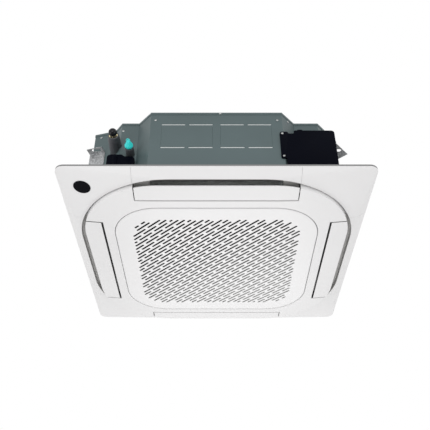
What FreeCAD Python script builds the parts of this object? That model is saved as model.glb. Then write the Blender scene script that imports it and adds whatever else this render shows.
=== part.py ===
import FreeCAD, Part
import math
import os
import re
from types import SimpleNamespace

import Sketcher
from FreeCAD import Placement, Rotation, Vector

# Four-way cassette air conditioner, hung in a ceiling, in millimetres.
# The origin lies under the middle of the panel, at its lowest face. Z points up, and the piping corner
# is at minus X and minus Y.

# Driving dimensions
SIZES = {
    # Panel: rounded squares given by half width, corner radius and height of their lower edge
    "panel_depth": 43,
    "rim_height": 8,
    "rim_half": 475,
    "rim_radius": 28,
    "slope_width": 33,
    "lip_radius": 302,
    "lip_level": 22,
    "panel_wall": 3,
    "deck_drop": 5,
    "deck_open_radius": 117,
    "filter_room": 16,
    "gasket_height": 3,
    "gasket_width": 4,
    "seam_inset": 225,
    "seam_gap": 0.6,
    "cover_wall": 2.4,
    "backing_wall": 2,
    "backing_lap": 5,
    # Centre ring between the air slots and the grille
    "air_gap": 18,
    "ring_radius": 250,
    "ring_level": 10.5,
    "mouth_border": 30.6,
    "mouth_radius": 145,
    "mouth_level": 1.4,
    # Bays and vanes
    "bay_inset": 175,
    "bay_gap": 5,
    "bay_wall": 2,
    "vane_width": 60.4,
    "vane_gap": 3,
    "pivot_inset": 36,
    "pivot_level": 19,
    "pivot_radius": 2.5,
    "ear_width": 12,
    "ear_thick": 5,
    "ear_rise": 4.5,
    "bush_radius": 4.5,
    "bush_length": 5,
    "pin_length": 7,
    "stepper_radius": 9.5,
    "stepper_length": 14,
    "stepper_offset": 6.2,
    "stepper_foot": 11,
    # Grille and filter
    "grille_gap": 2,
    "grille_wall": 3,
    "grille_border": 57,
    "edge_bevel": 3,
    "field_radius": 80,
    "slot_length": 63,
    "slot_pitch": 74,
    "slot_width": 6.8,
    "slot_lines": 13.7,
    "slot_least": 12,
    "slot_margin": 1,
    "flange_inset": 2,
    "flange_wall": 3,
    "flange_top": 14,
    "bead_gap": 10,
    "bead_wall": 3,
    "bead_radius": 60,
    "bead_top": 8.2,
    "filter_radius": 62,
    "filter_height": 5,
    "filter_border": 10,
    "filter_rib": 2.4,
    "filter_cells": 9,
    "filter_net": 0.6,
    "hinge_inset": 32,
    "hinge_margin": 138,
    "hinge_rise": 1.3,
    "hinge_pin_radius": 1.2,
    "hinge_arm_half": 1.8,
    "hinge_arm_thick": 4,
    "hinge_ear_long": 10,
    "hinge_ear_half": 4,
    "hinge_ear_gap": 1,
    "hinge_pocket_depth": 0.8,
    "hinge_pocket_reach": 8,
    "latch_margin": 178,
    "latch_radius": 2.6,
    "latch_boss_radius": 4.8,
    "latch_boss_drop": 20,
    "latch_lift": 3,
    "latch_room": 1,
    # Clearances
    "running_gap": 0.05,
    "sliding_gap": 0.15,
    "touch_gap": 0.3,
    "overrun": 20,
    # Casing plan: cuts that the corners of the sheet-metal outline take from its square
    "rim_overlap": 65,
    "front_cut": 198,
    "shoulder_cut": 154,
    "shoulder_depth": 50,
    "shoulder_run": 79,
    "side_cut": 136,
    "notch_run": 56,
    "notch_width": 23,
    "notch_depth": 31,
    "pipe_face_run": 25,
    "pipe_face_depth": 11,
    "pipe_face_slant": 14,
    "case_height": 278,
    "sheet_wall": 1.2,
    "lid_lip": 9,
    "lid_bead_rise": 3,
    "lid_bead_width": 22,
    "lid_bead_long": 250,
    "lid_bead_margin": 175,
    "split_step": 2,
    "piping_step": 5,
    "foam_wall": 10,
    "foam_pad": 8,
    "foam_gap": 9,
    # Knock-outs in the front and rear sheets
    "knock_near": 12.5,
    "knock_margin": 37,
    "knock_low": 135,
    "knock_high": 233,
    "knock_slot": 4,
    "knock_tab": 13,
    "knock_score": 0.8,
    "knock_score_tab": 9,
    # Drain pan
    "pan_height": 60,
    "pan_edge": 42,
    "outlet_margin": 49,
    "outlet_inset": 40,
    "duct_step": 4.6,
    "duct_wall": 3,
    "duct_spread": 34,
    "trough_depth": 12,
    "eye_margin": 56,
    # Bell mouth and fan
    "bell_step": 6,
    "bell_wall": 2.5,
    "bell_lap": 12,
    "bell_curve": 40,
    "throat_inset": 64,
    "throat_rise": 7,
    "fan_room": 26,
    "fan_gap": 6,
    "fan_wall": 2.5,
    "throat_lap": 12,
    "fan_collar": 22,
    "fan_flare": 31,
    "fan_plate_drop": 84,
    "blade_reach": 38,
    "blade_count": 7,
    "blade_sweep": 38,
    "dome_radius": 112,
    "dome_shelf": 84,
    "dome_drop": 60,
    "boss_drop": 74,
    "boss_radius": 18,
    "boss_height": 34,
    "shaft_radius": 6,
    "shaft_end_drop": 86,
    "shaft_seat": 22,
    "nut_radius": 10,
    "nut_height": 8,
    "motor_radius": 68,
    "motor_height": 88,
    "lug_radius": 95,
    "lug_wall": 4,
    "bolt_circle": 80,
    "bolt_radius": 3,
    "bolt_head_radius": 6,
    "bolt_head_height": 4,
    "bolt_tail": 6,
    "rubber_radius": 9,
    "rubber_height": 28,
    # Heat exchanger
    "coil_depth": 50,
    "coil_corner": 70,
    "coil_opening": 72,
    "end_plate_wall": 1.5,
    "bend_radius": 11,
    "tube_radius": 3.5,
    "bend_pitch": 42,
    "header_radius": 9,
    "header_gap": 20,
    # Pipes
    "gas_margin": 33,
    "gas_rise": 180.4,
    "gas_cap_out": 28,
    "gas_radius": 8,
    "gas_sleeve_radius": 20,
    "gas_sleeve_out": 32,
    "gas_nut_radius": 16.5,
    "gas_nut_length": 14,
    "gas_cap_radius": 13.5,
    "gas_skirt_radius": 11,
    "pipe_pitch": 52,
    "liquid_rise": 142,
    "liquid_radius": 4.8,
    "liquid_sleeve_radius": 13.5,
    "liquid_sleeve_out": 33,
    "liquid_cap_radius": 13.5,
    "liquid_cap_length": 19,
    "liquid_neck_radius": 5,
    "liquid_neck_hole": 2,
    "liquid_neck_length": 20,
    "sleeve_reach": 48,
    "wall_share": 0.8,
    "taper_share": 0.6,
    "hole_gap": 0.5,
    "service_lap": 10,
    "service_depth": 17,
    "service_low": 9,
    "service_high": 127,
    "service_wall": 2.5,
    # Drain pump
    "pump_inset": 45,
    "pump_step": 12,
    "pump_radius": 21,
    "pump_height": 95,
    "stem_reach": 36,
    "stem_radius": 2.5,
    "stem_rise": 40,
    "arm_thick": 6,
    "float_radius": 9,
    "float_height": 12,
    "outlet_tube_radius": 13,
    "outlet_tube_step": 1,
    "outlet_tube_wall": 2.5,
    "outlet_tube_out": 30,
    "outlet_tube_rise": 75,
    # Control box on the right shoulder
    "box_inset": 37,
    "box_width": 128,
    "box_overhang": 14,
    "box_lap": 2,
    "box_step": 3.5,
    "box_low": 9,
    "box_high": 195,
    "box_wall": 2,
    "box_round": 3.5,
    "tab_reach": 45,
    "tab_width": 26,
    "tab_low": 80,
    "tab_high": 190,
    "strip_high": 182,
    "foot_step": 17,
    "tab_screw_in": 8,
    "gland_inset": 29,
    "gland_radius": 8,
    "gland_height": 9,
    "board_wall": 1.6,
    "board_inset": 12,
    "board_standoff": 6,
    "standoff_radius": 3,
    "chip_height": 14,
    "terminal_depth": 22,
    "terminal_height": 26,
    "terminal_length": 84,
    "terminal_rise": 16,
    # Hanger brackets
    "hang_inset": 16,
    "hang_back_inset": 86,
    "hang_rise": 192,
    "hang_drop": 122,
    "hang_wall": 2,
    "hang_reach": 40,
    "hang_half": 40,
    "hang_slot_length": 30,
    "hang_slot_width": 12,
    "left_tab_lap": 10,
    "left_tab_width": 54,
    "left_tab_reach": 28,
    # Screws, all of one kind
    "screw_head_radius": 4.4,
    "screw_head_height": 2.4,
    "screw_radius": 2,
    "screw_length": 3,
    "screw_inset": 16,
    "screw_drop": 34,
    "screw_foot": 30,
    "screw_edge": 6,
    "lip_screw_side": 12,
    "panel_screw_step": 12,
    "panel_screw_pitch": 150,
    "panel_screw_grip": 12,
    # Receiver window in the piping corner's cover
    "window_inset": 72,
    "window_back_inset": 79,
    "window_radius": 26,
    "window_wall": 2,
    "window_rise": 1,
}

# Sizes and places worked out from the driving dimensions
WORKED = {
    # Heights
    "ceiling": "panel_depth + rim_height",
    "case_top": "ceiling + case_height",
    "lid_under": "case_top - sheet_wall",
    "pan_top": "ceiling + pan_height",
    "deck_level": "panel_depth - deck_drop",
    "hinge_level": "grille_wall + hinge_rise",
    "lug_top": "lid_under - rubber_height",
    "lug_low": "lug_top - lug_wall",
    "motor_low": "lug_low - motor_height",
    "plate_level": "case_top - fan_plate_drop",
    "boss_low": "plate_level - boss_drop",
    "coil_low": "pan_top - trough_depth",
    "coil_top": "lid_under - foam_pad",
    "feed_level": "pan_top + 2 * bend_radius + bend_pitch / 2",
    "gas_level": "ceiling + gas_rise",
    "liquid_level": "ceiling + liquid_rise",
    "drain_level": "pan_top + outlet_tube_rise",
    "float_low": "pan_top + touch_gap",
    # Panel from its rim inwards
    "lip_half": "rim_half - slope_width",
    "seam_place": "rim_half - seam_inset",
    "window_side": "rim_half - window_inset",
    "window_back": "rim_half - window_back_inset",
    "ring_half": "lip_half - air_gap",
    "vane_inner": "ring_half - vane_width",
    "pivot_out": "ring_half - pivot_inset",
    "bay_half": "ring_half - bay_inset",
    "vane_half": "bay_half - vane_gap",
    "bay_inner": "vane_inner - bay_gap",
    "mouth_half": "bay_inner - mouth_border",
    "field_half": "mouth_half - grille_border",
    "bead_half": "field_half + bead_gap",
    "filter_half": "bead_half + bead_wall",
    "deck_open_half": "filter_half + filter_room",
    "panel_screw_side": "deck_open_half + panel_screw_step",
    "hinge_place": "mouth_half - hinge_inset",
    "hinge_side": "mouth_half - hinge_margin",
    "latch_side": "mouth_half - latch_margin",
    # Casing plan
    "case_half": "rim_half - rim_overlap",
    "front_half": "case_half - front_cut",
    "shoulder_near": "case_half - shoulder_cut",
    "shoulder_back": "case_half - shoulder_depth",
    "shoulder_face": "shoulder_back - sheet_wall",
    "shoulder_far": "shoulder_near + shoulder_run",
    "side_start": "case_half - side_cut",
    "notch_near": "shoulder_near + notch_run",
    "notch_far": "notch_near + notch_width",
    "notch_back": "shoulder_back - notch_depth",
    "pipe_face_near": "notch_far + pipe_face_run",
    "pipe_face_back": "notch_back - pipe_face_depth",
    "panel_split": "shoulder_near + split_step",
    "pipe_face_end": "pipe_face_back - pipe_face_slant",
    "piping_split": "pipe_face_end - piping_step",
    "knock_far": "front_half - knock_margin",
    "lid_bead_place": "case_half - lid_bead_margin",
    # Air path from the outlets inwards
    "outlet_half": "bay_half - outlet_margin",
    "outlet_near": "bay_inner - duct_step",
    "outlet_far": "lip_half - outlet_inset",
    "coil_inner": "outlet_near - pan_edge - coil_depth",
    "coil_end": "coil_inner - coil_opening",
    "fan_radius": "coil_inner - fan_room",
    "throat_radius": "fan_radius - throat_inset",
    "eye_radius": "throat_radius + eye_margin",
    "bell_rim": "eye_radius + bell_lap",
    "fan_inlet_radius": "throat_radius + fan_gap",
    "blade_inner": "fan_inlet_radius - blade_reach",
    "foam_hole": "lug_radius + foam_gap",
    # Pipes and pump
    "gas_side": "pipe_face_near - gas_margin",
    "gas_sleeve_end": "shoulder_back + gas_sleeve_out",
    "gas_face": "gas_sleeve_end + gas_nut_length",
    "gas_end": "gas_sleeve_end + gas_cap_out",
    "liquid_side": "gas_side - pipe_pitch",
    "liquid_sleeve_end": "shoulder_back + liquid_sleeve_out",
    "liquid_end": "liquid_sleeve_end + liquid_cap_length",
    "sleeve_inside": "shoulder_back - sleeve_reach",
    "service_left": "notch_far + service_lap",
    "pump_side": "case_half - pump_inset",
    "pump_back": "side_start - pump_step",
    "outlet_tube_end": "case_half + outlet_tube_out",
    # Control box and hangers
    "box_right": "case_half - box_inset",
    "box_left": "box_right - box_width",
    "box_front": "case_half + box_step",
    "tray_left": "box_left + box_overhang",
    "tray_right": "box_right - box_lap",
    "tab_left": "box_left - tab_reach",
    "tab_right": "tab_left + tab_width",
    "foot_left": "tab_left + foot_step",
    "gland_side": "box_left + gland_inset",
    "hang_side": "case_half - hang_inset",
    "hang_back": "case_half - hang_back_inset",
    "left_tab_out": "case_half + left_tab_lap",
    "left_tab_in": "left_tab_out - left_tab_width",
}


def rule(text, worked="Worked."):
    """A rule with each size's name pointing into its sheet."""
    def place(match):
        name = match.group()
        if name in SIZES:
            return "Sizes." + name
        return worked + name if name in WORKED else name

    return re.sub(r"[a-z_]+", place, text)


doc = FreeCAD.newDocument("cassette")
sheet = doc.addObject("Spreadsheet::Sheet", "Sizes")
for row, (alias, amount) in enumerate(SIZES.items(), start=1):
    sheet.set(f"A{row}", alias)
    sheet.set(f"B{row}", str(amount))
    sheet.setAlias(f"B{row}", alias)
worked_sheet = doc.addObject("Spreadsheet::Sheet", "Worked")
for row, alias in enumerate(WORKED, start=1):
    worked_sheet.set(f"A{row}", alias)
    worked_sheet.setAlias(f"B{row}", alias)
for row, text in enumerate(WORKED.values(), start=1):
    worked_sheet.set(f"B{row}", "=" + rule(text, worked=""))
doc.recompute()
s = SimpleNamespace(**{alias: float(sheet.get(alias)) for alias in SIZES})
vars(s).update({alias: float(worked_sheet.get(alias)) for alias in WORKED})
UP = Vector(0, 0, 1)
FULL_TURN = 360
QUARTER_TURN = 90
PARTS = []


# Document helpers

def bind(thing, **rules):
    """Tie properties of a document object to rules, with x, y and z for its place."""
    for name, text in rules.items():
        path = f"Placement.Base.{name}" if name in ("x", "y", "z") else name
        thing.setExpression(path, rule(text))
    return thing


def block(name, x, y, z):
    """A box between low and high rules along each axis."""
    box = doc.addObject("Part::Box", name)
    sides = zip(("Length", "Width", "Height"), (x, y, z))
    bind(box, **{side: f"({high}) - ({low})" for side, (low, high) in sides})
    return bind(box, x=x[0], y=y[0], z=z[0])


AXIS_TURNS = {
    "x": Rotation(Vector(0, 1, 0), QUARTER_TURN),
    "y": Rotation(Vector(1, 0, 0), -QUARTER_TURN),
    "z": Rotation(),
}


def rod(name, along, radius, low, high, **place):
    """A cylinder along one axis from a low to a high rule, at two other rules."""
    cylinder = doc.addObject("Part::Cylinder", name)
    cylinder.Placement = Placement(Vector(), AXIS_TURNS[along])
    bind(cylinder, Radius=radius, Height=f"({high}) - ({low})")
    return bind(cylinder, **{along: low}, **place)


def join(name, *things):
    fused = doc.addObject("Part::MultiFuse", name)
    fused.Shapes = list(things)
    return fused


def group(name, *things):
    compound = doc.addObject("Part::Compound", name)
    compound.Links = list(things)
    return compound


def cut(name, base, *tools):
    result = doc.addObject("Part::Cut", name)
    result.Base = base
    result.Tool = tools[0] if len(tools) == 1 else group(name + "_tools", *tools)
    return result


def common(name, base, tool):
    result = doc.addObject("Part::Common", name)
    result.Base = base
    result.Tool = tool
    return result


def feature(name, shape, placement=None):
    """A shape worked out here, as an object of the document."""
    thing = doc.addObject("Part::Feature", name)
    thing.Shape = shape
    thing.Placement = placement or Placement()
    return thing


def keep(thing, label):
    """Mark an object as a sub-part under the name of its file."""
    thing.Label = label
    PARTS.append(thing)
    return thing


def signed(text):
    """The number behind a rule that is one size with an optional minus."""
    return -getattr(s, text[1:]) if text.startswith("-") else getattr(s, text)


def outline(sketch, corners):
    """Closed straight outline whose corners are pairs of signed size names."""
    points = [Vector(signed(x), signed(y), 0) for x, y in corners]
    count = len(points)
    for i, point in enumerate(points):
        sketch.addGeometry(Part.LineSegment(point, points[(i + 1) % count]))
    for i in range(count):
        sketch.addConstraint(Sketcher.Constraint("Coincident", i, 2, (i + 1) % count, 1))
    for i, (x, y) in enumerate(corners):
        for kind, text in (("DistanceX", x), ("DistanceY", y)):
            index = sketch.addConstraint(Sketcher.Constraint(kind, i, 1, signed(text)))
            sketch.setExpression(f"Constraints[{index}]", rule(text))


def origin_plane(body, role):
    return next(f for f in body.Origin.OriginFeatures if f.Role == role)


def body_with_outline(name, corners, role="XY_Plane"):
    body = doc.addObject("PartDesign::Body", name)
    sketch = body.newObject("Sketcher::SketchObject", name + "_outline")
    sketch.AttachmentSupport = (origin_plane(body, role), [""])
    sketch.MapMode = "FlatFace"
    outline(sketch, corners)
    return body, sketch


def padded(body, sketch, length):
    pad = body.newObject("PartDesign::Pad", body.Name + "_pad")
    pad.Profile = sketch
    bind(pad, Length=length)
    body.Tip = pad
    return pad


# Shape helpers for the moulded panel

def rounded(half, radius, level):
    """Rounded square about the origin, as a wire of lines and arcs."""
    flat = half - radius
    reach = flat + radius * math.sqrt(0.5)
    side = (
        Vector(-flat, -half, level),
        Vector(flat, -half, level),
        Vector(reach, -reach, level),
        Vector(half, -flat, level),
    )
    edges = []
    for quarter in range(4):
        a, b, c, d = (Rotation(UP, QUARTER_TURN * quarter).multVec(point) for point in side)
        edges.append(Part.LineSegment(a, b).toShape())
        edges.append(Part.Arc(b, c, d).toShape())
    return Part.Wire(edges)


def sewn(faces):
    shell = Part.makeShell(faces)
    shell.sewShape()
    return Part.makeSolid(shell)


def bowl(low, high):
    """Solid between two rounded squares, each a half width, a radius and a height."""
    bottom, top = rounded(*low), rounded(*high)
    faces = [Part.Face(bottom), Part.Face(top)]
    for below, above in zip(bottom.Edges, top.Edges):
        if isinstance(below.Curve, Part.Line):
            a, b = (vertex.Point for vertex in below.Vertexes)
            c, d = (vertex.Point for vertex in reversed(above.Vertexes))
            faces.append(Part.Face(Part.makePolygon([a, b, c, d, a])))
        else:
            faces.append(Part.makeRuledSurface(below, above))
    return sewn(faces)


def prism(half, radius, low, high):
    return Part.Face(rounded(half, radius, low)).extrude(UP * (high - low))


def slab(x, y, z):
    size = (b - a for a, b in (x, y, z))
    return Part.makeBox(*size, Vector(x[0], y[0], z[0]))


def drum(radius, low, high, x=0, y=0):
    return Part.makeCylinder(radius, high - low, Vector(x, y, low))


def turned(shape, quarter):
    copy = shape.copy()
    copy.rotate(Vector(), UP, QUARTER_TURN * quarter)
    return copy


def all_round(shape):
    return [turned(shape, quarter) for quarter in range(4)]


def spun(points):
    """Ring of revolution about Z whose section has the given radius and height pairs."""
    loop = [Vector(r, 0, z) for r, z in points]
    face = Part.Face(Part.makePolygon(loop + loop[:1]))
    return face.revolve(Vector(), UP, FULL_TURN)


SIDES = ("front", "right", "rear", "left")


# Casing plan, one outline that every sheet, the foam and the pan follow

PLAN = (
    ("-front_half", "-case_half"),
    ("front_half", "-case_half"),
    ("shoulder_near", "-shoulder_back"),
    ("shoulder_far", "-shoulder_back"),
    ("case_half", "-side_start"),
    ("case_half", "side_start"),
    ("shoulder_far", "shoulder_back"),
    ("shoulder_near", "shoulder_back"),
    ("front_half", "case_half"),
    ("-front_half", "case_half"),
    ("-shoulder_near", "shoulder_back"),
    ("-shoulder_far", "shoulder_back"),
    ("-case_half", "side_start"),
    ("-case_half", "-pipe_face_end"),
    ("-pipe_face_near", "-pipe_face_back"),
    ("-notch_far", "-notch_back"),
    ("-notch_near", "-shoulder_back"),
    ("-shoulder_near", "-shoulder_back"),
)
plan = doc.addObject("Sketcher::SketchObject", "casing_plan")
outline(plan, PLAN)


def inset_plan(name, inset):
    """The casing plan drawn in by a rule."""
    smaller = doc.addObject("Part::Offset2D", name)
    smaller.Source = plan
    smaller.Join = "Intersection"
    return bind(smaller, Value=f"-({inset})")


def raised(name, base, low, high):
    """An outline pulled up into a solid between two heights."""
    pulled = doc.addObject("Part::Extrusion", name)
    pulled.Base = base
    pulled.DirMode = "Custom"
    pulled.Dir = UP
    pulled.Solid = True
    bind(pulled, LengthFwd=f"({high}) - ({low})")
    return bind(pulled, z=low)


plan_lip = inset_plan("plan_inside_lip", "sheet_wall")
plan_sheet = inset_plan("plan_inside_sheet", "2 * sheet_wall")
plan_foam = inset_plan("plan_inside_foam", "2 * sheet_wall + foam_wall")


# Hanger brackets' frames: the middle of the sheet face that each is screwed to and its outward direction

chamfer = Vector(s.case_half - s.shoulder_far, s.shoulder_back - s.side_start, 0)
corner_out = chamfer.cross(UP).normalize()
corner_start = Vector(s.shoulder_far, -s.shoulder_back, 0)
hang_point = Vector(s.hang_side, -s.hang_back, 0)
chamfer.normalize()
corner_base = corner_start + chamfer * (hang_point - corner_start).dot(chamfer) - corner_out * s.sheet_wall


def mirrored(vector, x, y):
    return Vector(vector.x * x, vector.y * y, vector.z)


left_way = Vector(s.pipe_face_near - s.case_half, s.pipe_face_back - s.pipe_face_end, 0).normalize()
left_out = UP.cross(left_way)
left_middle = (s.left_tab_out + s.left_tab_in) / 2
left_base = Vector(-s.case_half, -s.pipe_face_end, 0)
left_base += left_way * ((s.case_half - left_middle) / left_way.x) - left_out * s.sheet_wall
HANGERS = {
    "front_right": (corner_base, corner_out, s.hang_half, s.hang_reach),
    "rear_right": (mirrored(corner_base, 1, -1), mirrored(corner_out, 1, -1), s.hang_half, s.hang_reach),
    "rear_left": (mirrored(corner_base, -1, -1), mirrored(corner_out, -1, -1), s.hang_half, s.hang_reach),
    "front_left": (left_base, left_out, (s.left_tab_out - s.left_tab_in) / 2, s.left_tab_reach),
}

# Self-tapping screws: all alike, each at a point on a face and pointing out of it

face = s.case_half - s.sheet_wall
high = s.case_top - s.screw_drop
low = s.ceiling + s.screw_foot
under_lip = s.case_top - s.lid_lip - 2 * s.screw_head_radius
lip_middle = s.case_top - s.lid_lip / 2
near = s.front_half - s.screw_inset
aside = s.side_start - s.screw_inset
slant = Vector(s.shoulder_near - s.front_half, s.case_half - s.shoulder_back, 0)
slant_out = slant.cross(UP).normalize()
slant_middle = Vector(s.front_half + s.shoulder_near, -s.case_half - s.shoulder_back, 0) / 2
slant_middle = slant_middle - slant_out * s.sheet_wall + UP * under_lip
SOUTH = Vector(0, -1, 0)
EAST = Vector(1, 0, 0)
screw_places = [(slant_middle, slant_out)]
for sign in (-1, 1):
    for z in (low, high):
        screw_places.append((Vector(sign * near, -face, z), SOUTH))
        screw_places.append((Vector(sign * near, face, z), -SOUTH))
        screw_places.append((Vector(face, sign * aside, z), EAST))
        screw_places.append((Vector(-face, sign * aside, z), -EAST))
    screw_places.append((Vector(s.lip_screw_side, sign * s.case_half, lip_middle), -SOUTH * sign))
    screw_places.append((Vector(sign * s.case_half, s.lip_screw_side, lip_middle), EAST * sign))
screw_places.append((Vector(-s.notch_near + s.screw_edge, -s.shoulder_face, high), SOUTH))
screw_places.append((left_base - left_way * s.screw_edge + UP * under_lip, left_out))
for base, out, half, reach in HANGERS.values():
    for sign in (-1, 1):
        shift = out.cross(UP) * sign * (half - 2 * s.screw_edge)
        height = UP * (s.ceiling + s.hang_rise - s.hang_drop + 2 * s.screw_edge)
        screw_places.append((base + shift + out * s.hang_wall + height, out))
for z in (s.tab_low, s.tab_high):
    inward = s.tab_screw_in if z == s.tab_low else -s.tab_screw_in
    place = Vector(s.tab_left + s.tab_screw_in, -s.box_front, s.ceiling + z + inward)
    screw_places.append((place, SOUTH))
service_front = s.shoulder_face + s.service_depth
for x in (s.service_left - 2 * s.screw_edge, s.panel_split + 2 * s.screw_edge):
    screw_places.append((Vector(-x, -service_front, s.ceiling + s.service_low + 2 * s.screw_edge), SOUTH))


def screw_part(radius, length, point, direction):
    return Part.makeCylinder(radius, length, point, direction)


shanks = [screw_part(s.screw_radius, s.screw_length, p, -out) for p, out in screw_places]
heads = [screw_part(s.screw_head_radius, s.screw_head_height, p, out) for p, out in screw_places]
screw_bores = feature("screw_bores", Part.makeCompound(shanks))
screws = [head.fuse(shank).removeSplitter() for head, shank in zip(heads, shanks)]
keep(feature("case_screws", Part.makeCompound(screws)), "case_screws")

# Top plate: pressed lid with a folded lip and four stiffening beads, holes for the motor bolts

lid_outer = raised("lid_outer", plan, "case_top - lid_lip", "case_top")
lid_inner = raised("lid_inner", plan_lip, "case_top - lid_lip - overrun", "case_top - sheet_wall")
lid_beads = []
for side, sign in (("left", "-"), ("right", "")):
    centre = f"({sign}lid_bead_place)"
    lid_beads.append(block(
        f"lid_bead_{side}",
        (f"{centre} - lid_bead_width / 2", f"{centre} + lid_bead_width / 2"),
        ("-lid_bead_long / 2", "lid_bead_long / 2"),
        ("case_top - sheet_wall / 2", "case_top + lid_bead_rise"),
    ))
    lid_beads.append(block(
        f"lid_bead_across_{side}",
        ("-lid_bead_long / 2", "lid_bead_long / 2"),
        (f"{centre} - lid_bead_width / 2", f"{centre} + lid_bead_width / 2"),
        ("case_top - sheet_wall / 2", "case_top + lid_bead_rise"),
    ))
BOLT_SIGNS = (("", ""), ("-", ""), ("-", "-"), ("", "-"))


def bolt_rods(name, radius, low, high):
    """Four rods on the motor's bolt circle."""
    rods = []
    for i, (a, b) in enumerate(BOLT_SIGNS):
        place = {"x": f"{a}bolt_circle / sqrt(2)", "y": f"{b}bolt_circle / sqrt(2)"}
        rods.append(rod(f"{name}_{i}", "z", radius, low, high, **place))
    return rods


lid_skin = cut("lid_skin", lid_outer, lid_inner)
lid_whole = join("lid_whole", lid_skin, *lid_beads)
lid_holes = bolt_rods("lid_hole", "bolt_radius + running_gap", "case_top - overrun", "case_top + overrun")
keep(cut("top_plate", lid_whole, *lid_holes, screw_bores), "top_plate")

# Side sheets: one folded wall that is parted at the seams

wall_outer = raised("wall_outer", plan_lip, "ceiling", "case_top - sheet_wall")
wall_inner = raised("wall_inner", plan_sheet, "ceiling - overrun", "case_top")
wall = cut("wall", wall_outer, wall_inner, screw_bores)
TALL = ("ceiling - overrun", "case_top + overrun")
NEAR = ("-panel_split", "panel_split")
FAR = "case_half + overrun"


def knock_outs(name, low_y, high_y):
    """Slots round two rectangles that are pressed out for branch ducts."""
    tools = []
    middle = "(knock_near + knock_far) / 2"
    for sign in ("-", ""):
        for end in ("low", "high"):
            height = f"(ceiling - rim_height + knock_{end})"
            halves = (("knock_near", f"{middle} - knock_tab / 2"), (f"{middle} + knock_tab / 2", "knock_far"))
            for start, stop in halves:
                span = (f"{sign}({stop})", f"{sign}({start})") if sign else (start, stop)
                tools.append(block(
                    f"{name}_slot_{len(tools)}",
                    span,
                    (low_y, high_y),
                    (f"{height} - knock_slot / 2", f"{height} + knock_slot / 2"),
                ))
        for edge in ("knock_near", "knock_far"):
            tools.append(block(
                f"{name}_score_{len(tools)}",
                (f"{sign}{edge} - knock_score / 2", f"{sign}{edge} + knock_score / 2"),
                (low_y, high_y),
                (
                    "ceiling - rim_height + knock_low + knock_score_tab",
                    "ceiling - rim_height + knock_high - knock_score_tab",
                ),
            ))
    return tools


front_zone = block("front_zone", NEAR, ("-case_half - overrun", "0"), TALL)
rear_zone = block("rear_zone", NEAR, ("0", FAR), TALL)
right_zone = block("right_zone", ("panel_split", FAR), ("-case_half - overrun", FAR), TALL)
left_zone = block("left_zone", ("-case_half - overrun", "-panel_split"), ("-piping_split", FAR), TALL)
piping_zone = block(
    "piping_zone", ("-case_half - overrun", "-panel_split"), ("-case_half - overrun", "-piping_split"), TALL
)
front_sheet = common("front_sheet", wall, front_zone)
front_slots = knock_outs("front", "-case_half", "-case_half + foam_wall")
keep(cut("front_panel", front_sheet, *front_slots), "front_panel")
rear_sheet = common("rear_sheet", wall, rear_zone)
rear_slots = knock_outs("rear", "case_half - foam_wall", "case_half")
keep(cut("rear_panel", rear_sheet, *rear_slots), "rear_panel")
keep(common("right_panel", wall, right_zone), "right_panel")

GAS = {"x": "-gas_side", "z": "gas_level"}
LIQUID = {"x": "-liquid_side", "z": "liquid_level"}
DRAIN = {"y": "-pump_back", "z": "drain_level"}

left_sheet = common("left_sheet", wall, left_zone)
drain_hole = rod(
    "drain_hole", "x", "outlet_tube_radius - outlet_tube_step + hole_gap",
    "-case_half - overrun", "-pump_side", **DRAIN,
)
keep(cut("left_panel", left_sheet, drain_hole), "left_panel")
piping_sheet = common("piping_sheet", wall, piping_zone)
gas_hole = rod("gas_hole", "y", "gas_sleeve_radius + hole_gap", "-case_half", "-coil_inner", **GAS)
liquid_hole = rod(
    "liquid_hole", "y", "liquid_sleeve_radius + hole_gap", "-case_half", "-coil_inner", **LIQUID
)
keep(cut("piping_panel", piping_sheet, gas_hole, liquid_hole), "piping_panel")

# Foam liner: pale insulation inside the sheets and under the lid

foam_outer = raised("foam_outer", plan_sheet, "pan_top", "case_top - sheet_wall")
foam_hollow = raised("foam_hollow", plan_foam, "pan_top - overrun", "case_top - sheet_wall - foam_pad")
foam_eye = rod("foam_eye", "z", "foam_hole", "pan_top", "case_top", x="0", y="0")
foam_tools = (foam_hollow, foam_eye, gas_hole, liquid_hole, drain_hole, screw_bores)
keep(cut("foam_liner", foam_outer, *foam_tools), "foam_liner")

# Drain pan: thick foam moulding with four air slots, the eye for the bell mouth and the coil's trough

pan_blank = raised("pan_blank", plan_sheet, "ceiling", "pan_top")
pan_eye = rod("pan_eye", "z", "eye_radius", "ceiling - overrun", "pan_top + overrun", x="0", y="0")
pan_step = rod(
    "pan_step", "z", "bell_rim", "ceiling - overrun", "ceiling + bell_step + bell_wall", x="0", y="0"
)
pan_slots = []
for side, sign in (("low", "-"), ("high", "")):
    span = ("-outlet_far", "-outlet_near") if sign else ("outlet_near", "outlet_far")
    through = ("ceiling - overrun", "pan_top + overrun")
    pan_slots.append(block(f"pan_slot_x_{side}", span, ("-outlet_half", "outlet_half"), through))
    pan_slots.append(block(f"pan_slot_y_{side}", ("-outlet_half", "outlet_half"), span, through))
screw_holes = []
for i, (a, b) in enumerate(BOLT_SIGNS):
    place = {"x": f"{a}panel_screw_side", "y": f"{b}panel_screw_pitch"}
    reach = ("ceiling - overrun", "ceiling + panel_screw_grip")
    screw_holes.append(rod(f"pan_screw_hole_{i}", "z", "screw_radius + running_gap", *reach, **place))
trough_span = (s.coil_low, s.pan_top + s.overrun)
trough_outer = prism(s.coil_inner + s.coil_depth, s.coil_corner + s.coil_depth, *trough_span)
trough = feature("pan_trough", trough_outer.cut(prism(s.coil_inner, s.coil_corner, *trough_span)))
pan_cuts = (pan_eye, pan_step, *pan_slots, *screw_holes, trough, screw_bores)
keep(cut("drain_pan", pan_blank, *pan_cuts), "drain_pan")

# Bell mouth: moulded inlet ring in the pan's eye

bell_low = s.ceiling + s.bell_step
bend_centre = s.throat_radius + s.bell_curve
throat_top = bell_low + s.bell_curve + s.throat_rise


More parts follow.
